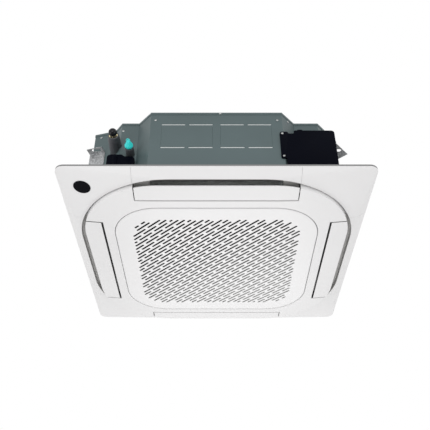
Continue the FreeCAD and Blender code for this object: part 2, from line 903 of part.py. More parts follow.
def bell_arc(radius):
    """Quarter arc from the flat rim to the throat at a distance from the bend's centre."""
    centre = Vector(bend_centre, 0, bell_low + s.bell_curve)
    middle = centre - Vector(radius * math.sqrt(0.5), 0, radius * math.sqrt(0.5))
    return Part.Arc(centre - Vector(0, 0, radius), middle, centre - Vector(radius, 0, 0))


outer_arc = bell_arc(s.bell_curve).toShape()
inner_arc = bell_arc(s.bell_curve - s.bell_wall).toShape()
bell_points = (
    outer_arc.lastVertex().Point,
    Vector(s.throat_radius, 0, throat_top),
    Vector(s.throat_radius + s.bell_wall, 0, throat_top),
    inner_arc.lastVertex().Point,
)
rim_points = (
    inner_arc.firstVertex().Point,
    Vector(s.bell_rim - s.touch_gap, 0, bell_low + s.bell_wall),
    Vector(s.bell_rim - s.touch_gap, 0, bell_low),
    outer_arc.firstVertex().Point,
)
bell_wire = Part.Wire(Part.__sortEdges__([outer_arc, inner_arc, *Part.makePolygon(bell_points).Edges,
                                          *Part.makePolygon(rim_points).Edges]))
keep(feature("bell_mouth", Part.Face(bell_wire).revolve(Vector(), UP, FULL_TURN)), "bell_mouth")


# Fan: turbo wheel with hub plate, shroud and swept blades, held on the motor's shaft by a nut

inlet = throat_top - s.throat_lap
collar_top = inlet + s.fan_collar
flare_top = collar_top + s.fan_flare
wall_f = s.fan_wall
hub = spun((
    (s.boss_radius, s.boss_low),
    (s.dome_shelf, s.plate_level - s.dome_drop),
    (s.dome_radius, s.plate_level),
    (s.fan_radius, s.plate_level),
    (s.fan_radius, s.plate_level + wall_f),
    (s.dome_radius - wall_f, s.plate_level + wall_f),
    (s.dome_shelf - wall_f, s.plate_level - s.dome_drop + wall_f),
    (s.boss_radius, s.boss_low + wall_f),
))
boss = drum(s.boss_radius, s.boss_low, s.boss_low + s.boss_height)
boss = boss.cut(drum(s.shaft_radius, s.boss_low, s.motor_low))
shroud = spun((
    (s.fan_inlet_radius, inlet),
    (s.fan_inlet_radius + wall_f, inlet),
    (s.fan_inlet_radius + wall_f, collar_top - wall_f / 2),
    (s.fan_radius, flare_top - wall_f),
    (s.fan_radius, flare_top),
    (s.fan_inlet_radius, collar_top),
))
blade_room = spun((
    (s.blade_inner, collar_top - 2 * wall_f),
    (s.fan_inlet_radius, collar_top - wall_f / 2),
    (s.fan_radius, flare_top - wall_f / 2),
    (s.fan_radius, s.plate_level + wall_f / 2),
    (s.blade_inner, s.plate_level + wall_f / 2),
))


def swept_point(radius, angle, height):
    turn = math.radians(angle)
    return Vector(radius * math.cos(turn), radius * math.sin(turn), height)


blade_outer = s.fan_radius - wall_f
blade_middle = (s.blade_inner + blade_outer) / 2
blade_turn = math.degrees(wall_f / blade_middle)
bow_share = 0.4


def blade(number):
    """One swept blade, an arc in plan between the hub plate and the shroud."""
    start = FULL_TURN * number / s.blade_count
    arcs = []
    for turn in (start, start + blade_turn):
        points = (
            swept_point(s.blade_inner, turn, inlet),
            swept_point(blade_middle, turn - bow_share * s.blade_sweep, inlet),
            swept_point(blade_outer, turn - s.blade_sweep, inlet),
        )
        arcs.append(Part.Arc(*points).toShape())
    ends = [Part.makeLine(a.Point, b.Point) for a, b in zip(arcs[0].Vertexes, arcs[1].Vertexes)]
    section = Part.Face(Part.Wire(Part.__sortEdges__([*arcs, *ends])))
    return section.extrude(UP * (s.plate_level + wall_f - inlet)).common(blade_room)


blades = [blade(number) for number in range(int(s.blade_count))]
keep(feature("fan_impeller", hub.fuse([boss, shroud, *blades]).removeSplitter()), "fan_impeller")

CENTRE = {"x": "0", "y": "0"}
shaft_ends = ("plate_level - shaft_end_drop", "motor_low + shaft_seat")
keep(rod("motor_shaft", "z", "shaft_radius", *shaft_ends, **CENTRE), "motor_shaft")
nut_blank = doc.addObject("Part::Prism", "nut_blank")
bind(nut_blank, Circumradius="nut_radius", Height="nut_height", z="boss_low - nut_height")
nut_bore = rod("nut_bore", "z", "shaft_radius", "boss_low - overrun", "boss_low", **CENTRE)
keep(cut("fan_nut", nut_blank, nut_bore), "fan_nut")

# Fan motor, hung from the lid on four rubber mounts and bolts

motor_body = rod("motor_body", "z", "motor_radius", "motor_low", "lug_low", **CENTRE)
motor_lug = rod("motor_lug", "z", "lug_radius", "lug_low", "lug_top", **CENTRE)
motor_bore = rod(
    "motor_bore", "z", "shaft_radius + running_gap", "motor_low - overrun", "motor_low + shaft_seat",
    **CENTRE,
)
lug_holes = bolt_rods("lug_hole", "bolt_radius", "lug_low - overrun", "case_top")
keep(cut("fan_motor", join("motor_solid", motor_body, motor_lug), motor_bore, *lug_holes), "fan_motor")
rubbers = bolt_rods("rubber", "rubber_radius", "lug_top", "lid_under")
keep(cut("motor_mounts", group("rubber_set", *rubbers), *lug_holes), "motor_mounts")
bolt_shanks = bolt_rods("bolt_shank", "bolt_radius", "lug_low - bolt_tail", "case_top")
bolt_heads = bolt_rods("bolt_head", "bolt_head_radius", "case_top", "case_top + bolt_head_height")
bolt_nuts = bolt_rods("bolt_nut", "bolt_head_radius", "lug_low - bolt_head_height", "lug_low")
bolts = [join(f"bolt_{i}", *trio) for i, trio in enumerate(zip(bolt_shanks, bolt_heads, bolt_nuts))]
keep(group("motor_bolts", *bolts), "motor_bolts")

# Heat exchanger: fin pack bent round the fan, open at the piping corner, with end plates and bends

coil_outer = s.coil_inner + s.coil_depth
fin_ring = prism(coil_outer, s.coil_corner + s.coil_depth, s.coil_low, s.coil_top)
fin_ring = fin_ring.cut(prism(s.coil_inner, s.coil_corner, s.coil_low, s.coil_top))
gap_span = (-coil_outer - s.overrun, -s.coil_end)
fin_ring = fin_ring.cut(slab(gap_span, gap_span, (s.coil_low, s.coil_top)))
keep(feature("fin_pack", fin_ring), "fin_pack")
across = ("-coil_inner - coil_depth", "-coil_inner")
thin = ("-coil_end - end_plate_wall", "-coil_end")
end_height = ("coil_low", "coil_top")
plate_front = block("end_plate_front", thin, across, end_height)
plate_left = block("end_plate_left", across, thin, end_height)
keep(group("end_plates", plate_front, plate_left), "end_plates")
bends = []
bend_face = s.coil_end + s.end_plate_wall
coil_line = s.coil_inner + s.coil_depth / 2
bend_room = s.coil_top - s.pan_top - 3 * s.bend_radius - 2 * s.tube_radius
for number in range(int(bend_room / s.bend_pitch) + 1):
    height = s.pan_top + 2 * s.bend_radius + number * s.bend_pitch
    for x, y, axis in ((-bend_face, -coil_line, Vector(0, 1, 0)), (-coil_line, -bend_face, Vector(1, 0, 0))):
        ring = Part.makeTorus(s.bend_radius, s.tube_radius, Vector(x, y, height), axis)
        reach = s.bend_radius + 2 * s.tube_radius
        if axis.y:
            keep_side = slab((x - reach, x), (y - reach, y + reach), (height - reach, height + reach))
        else:
            keep_side = slab((x - reach, x + reach), (y - reach, y), (height - reach, height + reach))
        bends.append(ring.common(keep_side))
keep(feature("return_bends", Part.makeCompound(bends)), "return_bends")

gas_header = join(
    "gas_header",
    rod("gas_riser", "z", "header_radius", "pan_top", "gas_level + 2 * header_radius",
        x="-gas_side", y="-coil_inner"),
    rod("gas_across", "x", "tube_radius", "-gas_side", "-coil_inner - coil_depth / 2",
        y="-coil_inner", z="feed_level"),
    rod("gas_feed", "y", "liquid_radius", "-coil_inner - liquid_radius", "-coil_end - end_plate_wall",
        x="-coil_inner - coil_depth / 2", z="feed_level"),
)
liquid_header = join(
    "liquid_header",
    rod("liquid_riser", "z", "header_radius * taper_share", "coil_low", "liquid_level + 2 * header_radius",
        x="-liquid_side + header_gap", y="-coil_inner"),
    rod("liquid_across", "x", "liquid_radius", "-liquid_side", "-coil_end - end_plate_wall",
        y="-coil_inner", z="liquid_level"),
)
keep(group("header_pipes", gas_header, liquid_header), "header_pipes")

# Drain pump with its float switch, and the outlet tube through the left sheet

pump_body = rod(
    "pump_body", "z", "pump_radius", "pan_top", "pan_top + pump_height", x="-pump_side", y="-pump_back"
)
pump_arm = block(
    "pump_arm",
    ("-pump_side - arm_thick / 2", "-pump_side + arm_thick / 2"),
    ("-pump_back", "-pump_back + stem_reach + stem_radius"),
    ("pan_top + stem_rise", "pan_top + stem_rise + arm_thick"),
)
STEM = {"x": "-pump_side", "y": "-pump_back + stem_reach"}
pump_stem = rod("pump_stem", "z", "stem_radius", "pan_top", "pan_top + stem_rise + arm_thick", **STEM)
keep(join("drain_pump", pump_body, pump_arm, pump_stem), "drain_pump")
float_body = rod("float_body", "z", "float_radius", "float_low", "float_low + float_height", **STEM)
float_bore = rod("float_bore", "z", "stem_radius + sliding_gap", "pan_top", "pan_top + stem_rise", **STEM)
keep(cut("pump_float", float_body, float_bore), "pump_float")
tube_spigot = rod(
    "tube_spigot", "x", "outlet_tube_radius", "-outlet_tube_end", "-case_half - touch_gap", **DRAIN
)
tube_shank = rod(
    "tube_shank", "x", "outlet_tube_radius - outlet_tube_step",
    "-outlet_tube_end", "-pump_side - pump_radius", **DRAIN,
)
tube_inside = "outlet_tube_radius - outlet_tube_wall"
tube_bore = rod("tube_bore", "x", tube_inside, "-outlet_tube_end - overrun", "-pump_side", **DRAIN)
keep(cut("drain_outlet", join("tube_body", tube_spigot, tube_shank), tube_bore), "drain_outlet")

# Refrigerant pipes with foam sleeves, a flare nut and sealing caps

gas_tube = rod("gas_tube", "y", "gas_radius", "-gas_face", "-coil_inner - header_radius", **GAS)
gas_bore = rod("gas_bore", "y", "gas_radius * wall_share", "-gas_face - overrun", "-coil_inner", **GAS)
gas_sleeve = rod("gas_sleeve_body", "y", "gas_sleeve_radius", "-gas_sleeve_end", "-sleeve_inside", **GAS)
gas_hollow = rod("gas_hollow", "y", "gas_radius", "-gas_end", "-coil_inner - header_radius", **GAS)
keep(cut("gas_pipe", gas_tube, gas_bore), "gas_pipe")
keep(cut("gas_sleeve", gas_sleeve, gas_hollow), "gas_sleeve")
nut_hex = doc.addObject("Part::Prism", "gas_nut_hex")
nut_hex.Placement = Placement(Vector(), AXIS_TURNS["y"])
bind(nut_hex, Circumradius="gas_nut_radius", Height="gas_nut_length", y="-gas_face", **GAS)
keep(cut("gas_nut", nut_hex, gas_hollow), "gas_nut")
cap_ball = doc.addObject("Part::Sphere", "gas_cap_ball")
bind(cap_ball, Radius="gas_cap_radius", y="-gas_end", **GAS)
cap_skirt = rod("gas_cap_skirt", "y", "gas_skirt_radius", "-gas_end", "-gas_face", **GAS)
cap_trim = rod("gas_cap_trim", "y", "gas_sleeve_radius", "-gas_face", "-gas_sleeve_end", **GAS)
keep(cut("gas_cap", join("gas_cap_solid", cap_ball, cap_skirt), cap_trim), "gas_cap")

liquid_tube = rod(
    "liquid_tube", "y", "liquid_radius", "-liquid_sleeve_end", "-coil_inner - liquid_radius", **LIQUID
)
liquid_bore = rod("liquid_bore", "y", "liquid_radius * wall_share", "-liquid_end", "-coil_inner", **LIQUID)
keep(cut("liquid_pipe", liquid_tube, liquid_bore), "liquid_pipe")
liquid_sleeve = rod(
    "liquid_sleeve_body", "y", "liquid_sleeve_radius", "-liquid_sleeve_end", "-sleeve_inside", **LIQUID
)
liquid_hollow = rod("liquid_hollow", "y", "liquid_radius", "-liquid_end", "-coil_inner", **LIQUID)
keep(cut("liquid_sleeve", liquid_sleeve, liquid_hollow), "liquid_sleeve")


def cone(name, near_radius, far_radius, near_y, far_y):
    """A cone along Y on the liquid pipe's axis between two rules for y."""
    body = doc.addObject("Part::Cone", name)
    body.Placement = Placement(Vector(), AXIS_TURNS["y"])
    bind(body, Radius1=near_radius, Radius2=far_radius, Height=f"({far_y}) - ({near_y})")
    return bind(body, y=near_y, **LIQUID)


cap_parts = (
    rod("cap_barrel", "y", "liquid_cap_radius",
        "-liquid_end", "-liquid_end + liquid_cap_length / 2", **LIQUID),
    cone("cap_back", "liquid_cap_radius", "liquid_cap_radius * taper_share",
         "-liquid_end + liquid_cap_length / 2", "-liquid_sleeve_end"),
    cone("cap_front", "liquid_neck_radius", "liquid_cap_radius",
         "-liquid_end - liquid_cap_length / 2", "-liquid_end"),
    rod("cap_neck", "y", "liquid_neck_radius", "-liquid_end - liquid_neck_length", "-liquid_end", **LIQUID),
)
neck_hole = rod(
    "neck_hole", "z", "liquid_neck_hole", "liquid_level - overrun", "liquid_level + overrun",
    x="-liquid_side", y="-liquid_end - liquid_neck_length + liquid_neck_radius",
)
keep(cut("liquid_cap", join("cap_solid", *cap_parts), neck_hole), "liquid_cap")

# Service cover over the piping corner, a moulded tray open towards the sheet

service_outer = block(
    "service_outer",
    ("-service_left", "-panel_split"),
    ("-shoulder_face - service_depth", "-shoulder_face"),
    ("ceiling + service_low", "ceiling + service_high"),
)
service_inner = block(
    "service_inner",
    ("-service_left + service_wall", "-panel_split - service_wall"),
    ("-shoulder_face - service_depth + service_wall", "-shoulder_face + overrun"),
    ("ceiling + service_low + service_wall", "ceiling + service_high - service_wall"),
)
keep(cut("service_cover", service_outer, service_inner, screw_bores), "service_cover")

# Control box: tray on the right shoulder, lid with a screwed tab, board, terminals and cable gland

tray_front = "-(case_half - sheet_wall)"
tray_z = ("ceiling + box_low", "ceiling + box_high")
tray_outer = block("tray_outer", ("tray_left", "tray_right"), (tray_front, "-shoulder_face"), tray_z)
tray_inner = block(
    "tray_inner",
    ("tray_left + box_wall", "tray_right - box_wall"),
    (f"{tray_front} - overrun", "-shoulder_face - box_wall"),
    (f"{tray_z[0]} + box_wall", f"{tray_z[1]} - box_wall"),
)
board_y = (
    "-shoulder_face - box_wall - board_standoff - board_wall",
    "-shoulder_face - box_wall - board_standoff",
)
board_low = f"{tray_z[0]} + box_high / 2"
board_high = f"{tray_z[1]} - board_inset"
posts = []
for i, (x, z) in enumerate((
    ("tray_left + 2 * board_inset", f"{board_low} + board_inset"),
    ("tray_right - 2 * board_inset", f"{board_low} + board_inset"),
    ("tray_left + 2 * board_inset", f"{board_high} - board_inset"),
    ("tray_right - 2 * board_inset", f"{board_high} - board_inset"),
)):
    posts.append(rod(f"post_{i}", "y", "standoff_radius", board_y[1], "-shoulder_face - box_wall", x=x, z=z))
gland_place = {"x": "gland_side", "y": "-(case_half + shoulder_back) / 2"}
gland_hole = rod(
    "gland_hole", "z", "gland_radius / 2", f"{tray_z[1]} - overrun", f"{tray_z[1]} + overrun", **gland_place
)
tray_shell = cut("tray_shell", tray_outer, tray_inner, gland_hole)
keep(join("control_box", tray_shell, *posts), "control_box")
gland_ring = rod("gland_ring", "z", "gland_radius", tray_z[1], f"{tray_z[1]} + gland_height", **gland_place)
keep(cut("cable_gland", gland_ring, gland_hole), "cable_gland")

board_x = ("tray_left + board_inset", "tray_right - board_inset")
board_plate = block("board_plate", board_x, board_y, (board_low, board_high))
chips = []
for i, start in enumerate(("tray_left + 2 * board_inset", "(tray_left + tray_right) / 2")):
    chips.append(block(
        f"chip_{i}",
        (start, f"{start} + 2 * board_inset"),
        (f"{board_y[0]} - chip_height", board_y[0]),
        (f"{board_low} + 2 * board_inset", f"{board_low} + 3 * board_inset"),
    ))
keep(join("control_board", board_plate, *chips), "control_board")
terminal_z = f"{tray_z[0]} + box_wall + terminal_rise"
terminal = block(
    "terminal_body",
    ("(tray_left + tray_right - terminal_length) / 2", "(tray_left + tray_right + terminal_length) / 2"),
    ("-shoulder_face - box_wall - terminal_depth", "-shoulder_face - box_wall"),
    (terminal_z, f"{terminal_z} + terminal_height"),
)
terminal_face = "-shoulder_face - box_wall - terminal_depth"
terminal_slots = []
for number in range(5):
    start = f"((tray_left + tray_right - terminal_length) / 2 + terminal_length * (0.5 + {number}) / 6)"
    terminal_slots.append(block(
        f"terminal_slot_{number}",
        (start, f"{start} + terminal_length / 12"),
        (f"{terminal_face} - overrun", f"{terminal_face} + terminal_depth / 2"),
        (f"{terminal_z} + terminal_height / 4", f"{terminal_z} + terminal_height * 3 / 4"),
    ))
keep(cut("terminal_block", terminal, *terminal_slots), "terminal_block")

LID = (
    ("tab_left", "tab_low"),
    ("tab_left", "tab_high"),
    ("tab_right", "tab_high"),
    ("tab_right", "strip_high"),
    ("box_left", "strip_high"),
    ("box_left", "box_high"),
    ("box_right", "box_high"),
    ("box_right", "box_low"),
    ("foot_left", "box_low"),
    ("foot_left", "tab_low"),
)
lid_body, lid_sketch = body_with_outline("lid_body", LID, "XZ_Plane")
lid_pad = padded(lid_body, lid_sketch, "box_front - case_half + sheet_wall")
bind(lid_body, y="-(case_half - sheet_wall)", z="ceiling")
doc.recompute()
upright = [
    f"Edge{i}"
    for i, edge in enumerate(lid_pad.Shape.Edges, start=1)
    if abs(edge.tangentAt(edge.FirstParameter).y) > 0.99
]
rounding = lid_body.newObject("PartDesign::Fillet", "lid_rounding")
rounding.Base = (lid_pad, upright)
bind(rounding, Radius="box_round")
lid_body.Tip = rounding
keep(cut("control_cover", lid_body, screw_bores), "control_cover")

# Hanger brackets: folded plates with a slot for the hanging bolt

slot_core = (s.hang_slot_length - s.hang_slot_width) / 2
tab_top = s.ceiling + s.hang_rise
for corner, (base, out, half, reach) in HANGERS.items():
    turn = Rotation(out.cross(UP), out, UP, "ZXY")
    web = Part.makeBox(2 * half, s.hang_wall, s.hang_drop, Vector(-half, 0, tab_top - s.hang_drop))
    tab = Part.makeBox(2 * half, reach, s.hang_wall, Vector(-half, 0, tab_top - s.hang_wall))
    plate_shape = web.fuse(tab).removeSplitter()
    plate_shape.Placement = Placement(base, turn)
    side = math.copysign(s.hang_side, base.x)
    back = math.copysign(s.hang_back, base.y)
    ends = [drum(s.hang_slot_width / 2, tab_top - s.overrun, tab_top + s.overrun, side + e * slot_core, back)
            for e in (-1, 1)]
    core = slab(
        (side - slot_core, side + slot_core),
        (back - s.hang_slot_width / 2, back + s.hang_slot_width / 2),
        (tab_top - s.overrun, tab_top + s.overrun),
    )
    bracket = plate_shape.cut([*ends, core, *shanks])
    keep(feature("hanger_" + corner, bracket), "hanger_" + corner)


# Panel frame: sloping outer skin, collar round the ring slot, deck with four ducts, and latch bosses

wall_p = s.panel_wall


def skin(lift):
    """Bowl between the lip and the rim, raised and drawn in by a wall."""
    low = (s.lip_half - lift, s.lip_radius - lift, s.lip_level + lift)
    high = (s.rim_half - lift, s.rim_radius - lift, s.panel_depth + lift)
    return bowl(low, high)


def corners(start, top):
    """Four boxes over the panel's corners, from a distance out of the middle."""
    span = (start, s.rim_half + s.overrun)
    box = slab(span, span, (0, top))
    return all_round(box)


collar_top_level = s.ceiling - s.gasket_height
deck_top = s.deck_level + wall_p
lip_hole = prism(s.lip_half, s.lip_radius, 0, s.ceiling + s.overrun)
skin_face = skin(0)
shell = skin_face.fuse(prism(s.rim_half, s.rim_radius, s.panel_depth, s.ceiling))
rim_inside = prism(s.rim_half - wall_p, s.rim_radius - wall_p, s.panel_depth + wall_p, s.ceiling + s.overrun)
shell = shell.cut([skin(wall_p), rim_inside, lip_hole])
shell = shell.cut(corners(s.seam_place - s.seam_gap / 2, s.panel_depth))
backing_low = s.cover_wall + s.touch_gap
backing = skin(backing_low).cut([skin(backing_low + s.backing_wall), lip_hole])
backing = backing.common(Part.makeCompound(corners(s.seam_place - s.backing_lap, s.ceiling)))
cover_room = skin_face.cut(skin(backing_low)).common(Part.makeCompound(corners(s.seam_place, s.ceiling)))
collar = prism(s.lip_half + wall_p, s.lip_radius + wall_p, s.lip_level + wall_p, collar_top_level)
collar = collar.cut(lip_hole)
deck = prism(s.lip_half + wall_p, s.lip_radius + wall_p, s.deck_level, deck_top)
deck_mouth = prism(s.deck_open_half, s.deck_open_radius, 0, s.ceiling)
duct_out = s.outlet_far + s.duct_spread


def duct_ring(inset, low, high):
    """Rectangle of the front duct at two heights, as a loft."""
    rings = []
    for level, outer, inner in ((low, duct_out, s.bay_inner), (high, s.outlet_far, s.outlet_near)):
        x = s.outlet_half - inset
        y = (-outer + inset, -inner - inset)
        loop = [Vector(*point, level) for point in ((-x, y[0]), (x, y[0]), (x, y[1]), (-x, y[1]))]
        rings.append(Part.makePolygon(loop + loop[:1]))
    return Part.makeLoft(rings, True, True)


duct_outer = duct_ring(-s.duct_wall, s.deck_level, collar_top_level)
duct_inner = duct_ring(0, s.deck_level, collar_top_level)
deck_slot = slab((-s.outlet_half, s.outlet_half), (-duct_out, -s.bay_inner), (0, s.deck_level))
boss_out = s.mouth_half - s.grille_gap - s.flange_inset - s.flange_wall / 2
latch_bosses = []
latch_bores = []
for sign in (-1, 1):
    place = (sign * s.latch_side, -boss_out)
    latch_bosses.append(drum(s.latch_boss_radius, s.deck_level - s.latch_boss_drop, s.deck_level, *place))
    latch_bores.append(drum(s.latch_radius + s.sliding_gap, 0, s.deck_level, *place))
deck_screws = []
for x, y in ((1, 1), (-1, 1), (-1, -1), (1, -1)):
    place = (x * s.panel_screw_side, y * s.panel_screw_pitch)
    deck_screws.append(drum(s.screw_radius + s.running_gap, 0, s.ceiling + s.panel_screw_grip, *place))
frame_shape = shell.fuse([backing, collar, deck.cut(deck_mouth), *all_round(duct_outer), *latch_bosses])
frame_shape = frame_shape.cut([cover_room, *all_round(duct_inner), *all_round(deck_slot)])
frame_shape = frame_shape.cut([*latch_bores, *deck_screws])
keep(feature("panel_frame", frame_shape.removeSplitter()), "panel_frame")

# Corner covers, clipped over the hanging bolts, and the receiver window in the piping corner's cover

cover_face = skin_face.cut([skin(s.cover_wall), lip_hole])
CORNER_NAMES = ("rear_right", "rear_left", "front_left", "front_right")
covers = {}
for name, box in zip(CORNER_NAMES, corners(s.seam_place + s.seam_gap / 2, s.panel_depth)):
    covers[name] = cover_face.common(box)


def face_height(x, y):
    """Height of the skin's lower face above a point of the plan."""
    upright_line = Part.makeLine(Vector(x, y, 0), Vector(x, y, s.ceiling))
    return min(vertex.Z for vertex in skin_face.common(upright_line).Vertexes)


window_x, window_y = -s.window_side, -s.window_back
step = s.window_radius / 2
window_middle = Vector(window_x, window_y, face_height(window_x, window_y))
slope_x = (face_height(window_x + step, window_y) - window_middle.z) / step
slope_y = (face_height(window_x, window_y + step) - window_middle.z) / step
window_up = Vector(-slope_x, -slope_y, 1).normalize()


def window_disc(radius, drop, rise):
    """Disc across the receiver's place, square to the skin."""
    return Part.makeCylinder(radius, drop + rise, window_middle - window_up * drop, window_up)


recess = window_disc(s.window_radius + s.touch_gap, s.window_rise + s.overrun, s.window_wall - s.window_rise)
covers["front_left"] = covers["front_left"].cut(recess)
window = window_disc(s.window_radius, s.window_rise, s.window_wall - s.window_rise)
keep(feature("receiver_window", window), "receiver_window")
for name, cover in covers.items():
    keep(feature("corner_cover_" + name, cover), "corner_cover_" + name)

# Foam gaskets on the ducts and the four panel screws

gasket_outer = slab(
    (-s.outlet_half - s.gasket_width, s.outlet_half + s.gasket_width),
    (-s.outlet_far - s.gasket_width, -s.outlet_near + s.gasket_width),
    (collar_top_level, s.ceiling),
)
outlet_span = (-s.outlet_half, s.outlet_half)
gasket_inner = slab(outlet_span, (-s.outlet_far, -s.outlet_near), (0, s.ceiling + s.overrun))
keep(feature("duct_gaskets", Part.makeCompound(all_round(gasket_outer.cut(gasket_inner)))), "duct_gaskets")
panel_screws = []
for x, y in ((1, 1), (-1, 1), (-1, -1), (1, -1)):
    place = (x * s.panel_screw_side, y * s.panel_screw_pitch)
    head = drum(s.screw_head_radius, s.deck_level - s.screw_head_height, s.deck_level, *place)
    shank = drum(s.screw_radius, s.deck_level, s.ceiling + s.panel_screw_grip, *place)
    panel_screws.append(head.fuse(shank).removeSplitter())
keep(feature("panel_screws", Part.makeCompound(panel_screws)), "panel_screws")

# Centre ring: moulding between the ring slot and the grille, with walls up to the deck and four bays

RING = (s.ring_half, s.ring_radius)
MOUTH = (s.mouth_half, s.mouth_radius)


def ring_bowl(lift, trim):
    outer = (s.ring_half - trim, s.ring_radius - trim, s.ring_level + lift)
    return bowl((*MOUTH, s.mouth_level + lift), outer)


def ring_solid(lift, trim, top):
    """Everything above the ring's skin, raised and drawn in by a wall, up to a height."""
    high = prism(s.ring_half - trim, s.ring_radius - trim, s.ring_level + lift, top)
    return ring_bowl(lift, trim).fuse(high)


whole = ring_solid(0, 0, s.deck_level)
ring_wall = whole.cut(ring_solid(wall_p, wall_p, s.ceiling))
mouth_hole = prism(*MOUTH, -s.overrun, s.ceiling)
mouth_flare = (s.mouth_half + s.edge_bevel, s.mouth_radius + s.edge_bevel)
mouth_bevel = bowl((*mouth_flare, s.mouth_level), (*MOUTH, s.grille_wall))
mouth_wall = whole.common(prism(s.mouth_half + wall_p, s.mouth_radius + wall_p, 0, s.ceiling))
bay_room = slab((-s.bay_half, s.bay_half), (-s.ring_half - s.overrun, -s.bay_inner), (-s.overrun, s.ceiling))
bay_case = slab(
    (-s.bay_half - s.bay_wall, s.bay_half + s.bay_wall),
    (-s.ring_half - s.overrun, -s.bay_inner + s.bay_wall),
    (-s.overrun, s.ceiling),
)
bush_reach = s.bay_half + s.overrun
bush_start = Vector(-bush_reach, -s.pivot_out, s.pivot_level)
bush_hole = Part.makeCylinder(s.bush_radius, 2 * bush_reach, bush_start, EAST)
ring_shape = ring_wall.fuse([mouth_wall, *(whole.common(case) for case in all_round(bay_case))])
ring_shape = ring_shape.cut([mouth_hole, mouth_bevel, *all_round(bay_room), *all_round(bush_hole)])
keep(feature("centre_ring", ring_shape.removeSplitter()), "centre_ring")

# Vanes: blades in the bays, each turning on two end pins, with bushes and a stepper motor

blade_room_box = slab((-s.vane_half, s.vane_half), (-s.ring_half - s.overrun, -s.vane_inner), (0, s.ceiling))
vane_blade = ring_bowl(0, 0).fuse(prism(*RING, s.ring_level, s.ring_level + wall_p))
vane_blade = vane_blade.cut(ring_solid(wall_p, 0, s.ceiling)).common(blade_room_box)
ring_slope = (s.ring_level - s.mouth_level) / (s.ring_half - s.mouth_half)
ear_low = s.mouth_level + ring_slope * (s.vane_inner - s.mouth_half)
ear_room = ring_solid(wall_p / 2, 0, s.ceiling)
vane_parts = [vane_blade]
for sign in (-1, 1):
    outer_x = sign * s.vane_half
    inner_x = sign * (s.vane_half - s.ear_thick)
    x_span = tuple(sorted((outer_x, inner_x)))
    y_span = (-s.pivot_out - s.ear_width / 2, -s.pivot_out + s.ear_width / 2)
    ear = slab(x_span, y_span, (ear_low, s.pivot_level + s.ear_rise)).common(ear_room)
    pin_start = Vector(outer_x, -s.pivot_out, s.pivot_level)
    pin = Part.makeCylinder(s.pivot_radius, s.pin_length, pin_start, EAST * sign)
    vane_parts.extend((ear, pin))
vane_shape = vane_parts[0].fuse(vane_parts[1:]).removeSplitter()
for quarter, side in enumerate(SIDES):
    place = Placement(Vector(), Rotation(UP, QUARTER_TURN * quarter))
    keep(feature("vane_" + side, vane_shape, place), "vane_" + side)

bushes = []
for sign in (-1, 1):
    start = Vector(sign * s.bay_half, -s.pivot_out, s.pivot_level)
    bush = Part.makeCylinder(s.bush_radius, s.bush_length, start, EAST * sign)
    bush_bore = Part.makeCylinder(s.pivot_radius + s.running_gap, s.bush_length, start, EAST * sign)
    bushes.append(bush.cut(bush_bore))
bush_set = [bush for pair in bushes for bush in all_round(pair)]
keep(feature("vane_bushes", Part.makeCompound(bush_set)), "vane_bushes")
stepper_start = Vector(s.bay_half + s.bush_length, -s.pivot_out, s.pivot_level + s.stepper_offset)
stepper = Part.makeCylinder(s.stepper_radius, s.stepper_length, stepper_start, EAST)
stepper_foot = slab(
    (stepper_start.x + s.bush_length / 2, stepper_start.x + s.stepper_length - s.bush_length / 2),
    (-s.pivot_out - s.stepper_foot / 2, -s.pivot_out + s.stepper_foot / 2),
    (stepper_start.z, s.deck_level),
)
stepper = stepper.fuse(stepper_foot).removeSplitter()
keep(feature("vane_motors", Part.makeCompound(all_round(stepper))), "vane_motors")

# Intake grille: crowned plate with slanted slots, a flange, a bead under the filter and two hinge ears

edge = (s.mouth_half - s.grille_gap, s.mouth_radius - s.grille_gap)
FIELD = (s.field_half, s.field_radius)
half_diagonal = math.sqrt(0.5)
ALONG = Vector(half_diagonal, -half_diagonal, 0)
ACROSS = Vector(half_diagonal, half_diagonal, 0)
slot_round = s.slot_width / 2
inner_half = s.field_half - slot_round - s.slot_margin
inner_flat = s.field_half - s.field_radius
inner_radius = s.field_radius - slot_round - s.slot_margin


def in_field(point):
    """True where a slot's centre line may run inside the slotted field."""
    x, y = abs(point.x), abs(point.y)
    if x > inner_flat and y > inner_flat:
        return math.hypot(x - inner_flat, y - inner_flat) <= inner_radius
    return max(x, y) <= inner_half


def edge_between(inside, outside):
    """The last point of the field on the way from a point inside to one outside."""
    for _ in range(24):
        middle = (inside + outside) / 2
        if in_field(middle):
            inside = middle
        else:
            outside = middle
    return inside


def slot_wire(start, stop):
    """Round-ended slot between the centres of its two ends."""
    side = ACROSS * slot_round
    tip = ALONG * slot_round
    return Part.Wire([
        Part.LineSegment(start + side, stop + side).toShape(),
        Part.Arc(stop + side, stop + tip, stop - side).toShape(),
        Part.LineSegment(stop - side, start - side).toShape(),
        Part.Arc(start - side, start - tip, start + side).toShape(),
    ])


slots = []
lines_out = int(2 * s.field_half / s.slot_lines)
slots_out = int(2 * s.field_half / s.slot_pitch)
core_half = (s.slot_length - s.slot_width) / 2
for line in range(-lines_out, lines_out + 1):
    shift = s.slot_pitch / 2 if line % 2 else 0
    for number in range(-slots_out, slots_out + 1):
        middle = ACROSS * (line * s.slot_lines) + ALONG * (number * s.slot_pitch + shift)
        samples = [middle + ALONG * core_half * share for share in (-1, -0.5, 0, 0.5, 1)]
        inside = [point for point in samples if in_field(point)]
        if not inside:
            continue
        start = inside[0] if in_field(samples[0]) else edge_between(inside[0], samples[0])
        stop = inside[-1] if in_field(samples[-1]) else edge_between(inside[-1], samples[-1])
        if (stop - start).Length + s.slot_width >= s.slot_least:
            slots.append(slot_wire(start, stop))
print("slots in the grille:", len(slots))
sieve_face = Part.Face([rounded(*FIELD, 0), *slots])
sieve_top = sieve_face.copy()
sieve_top.translate(UP * s.grille_wall)
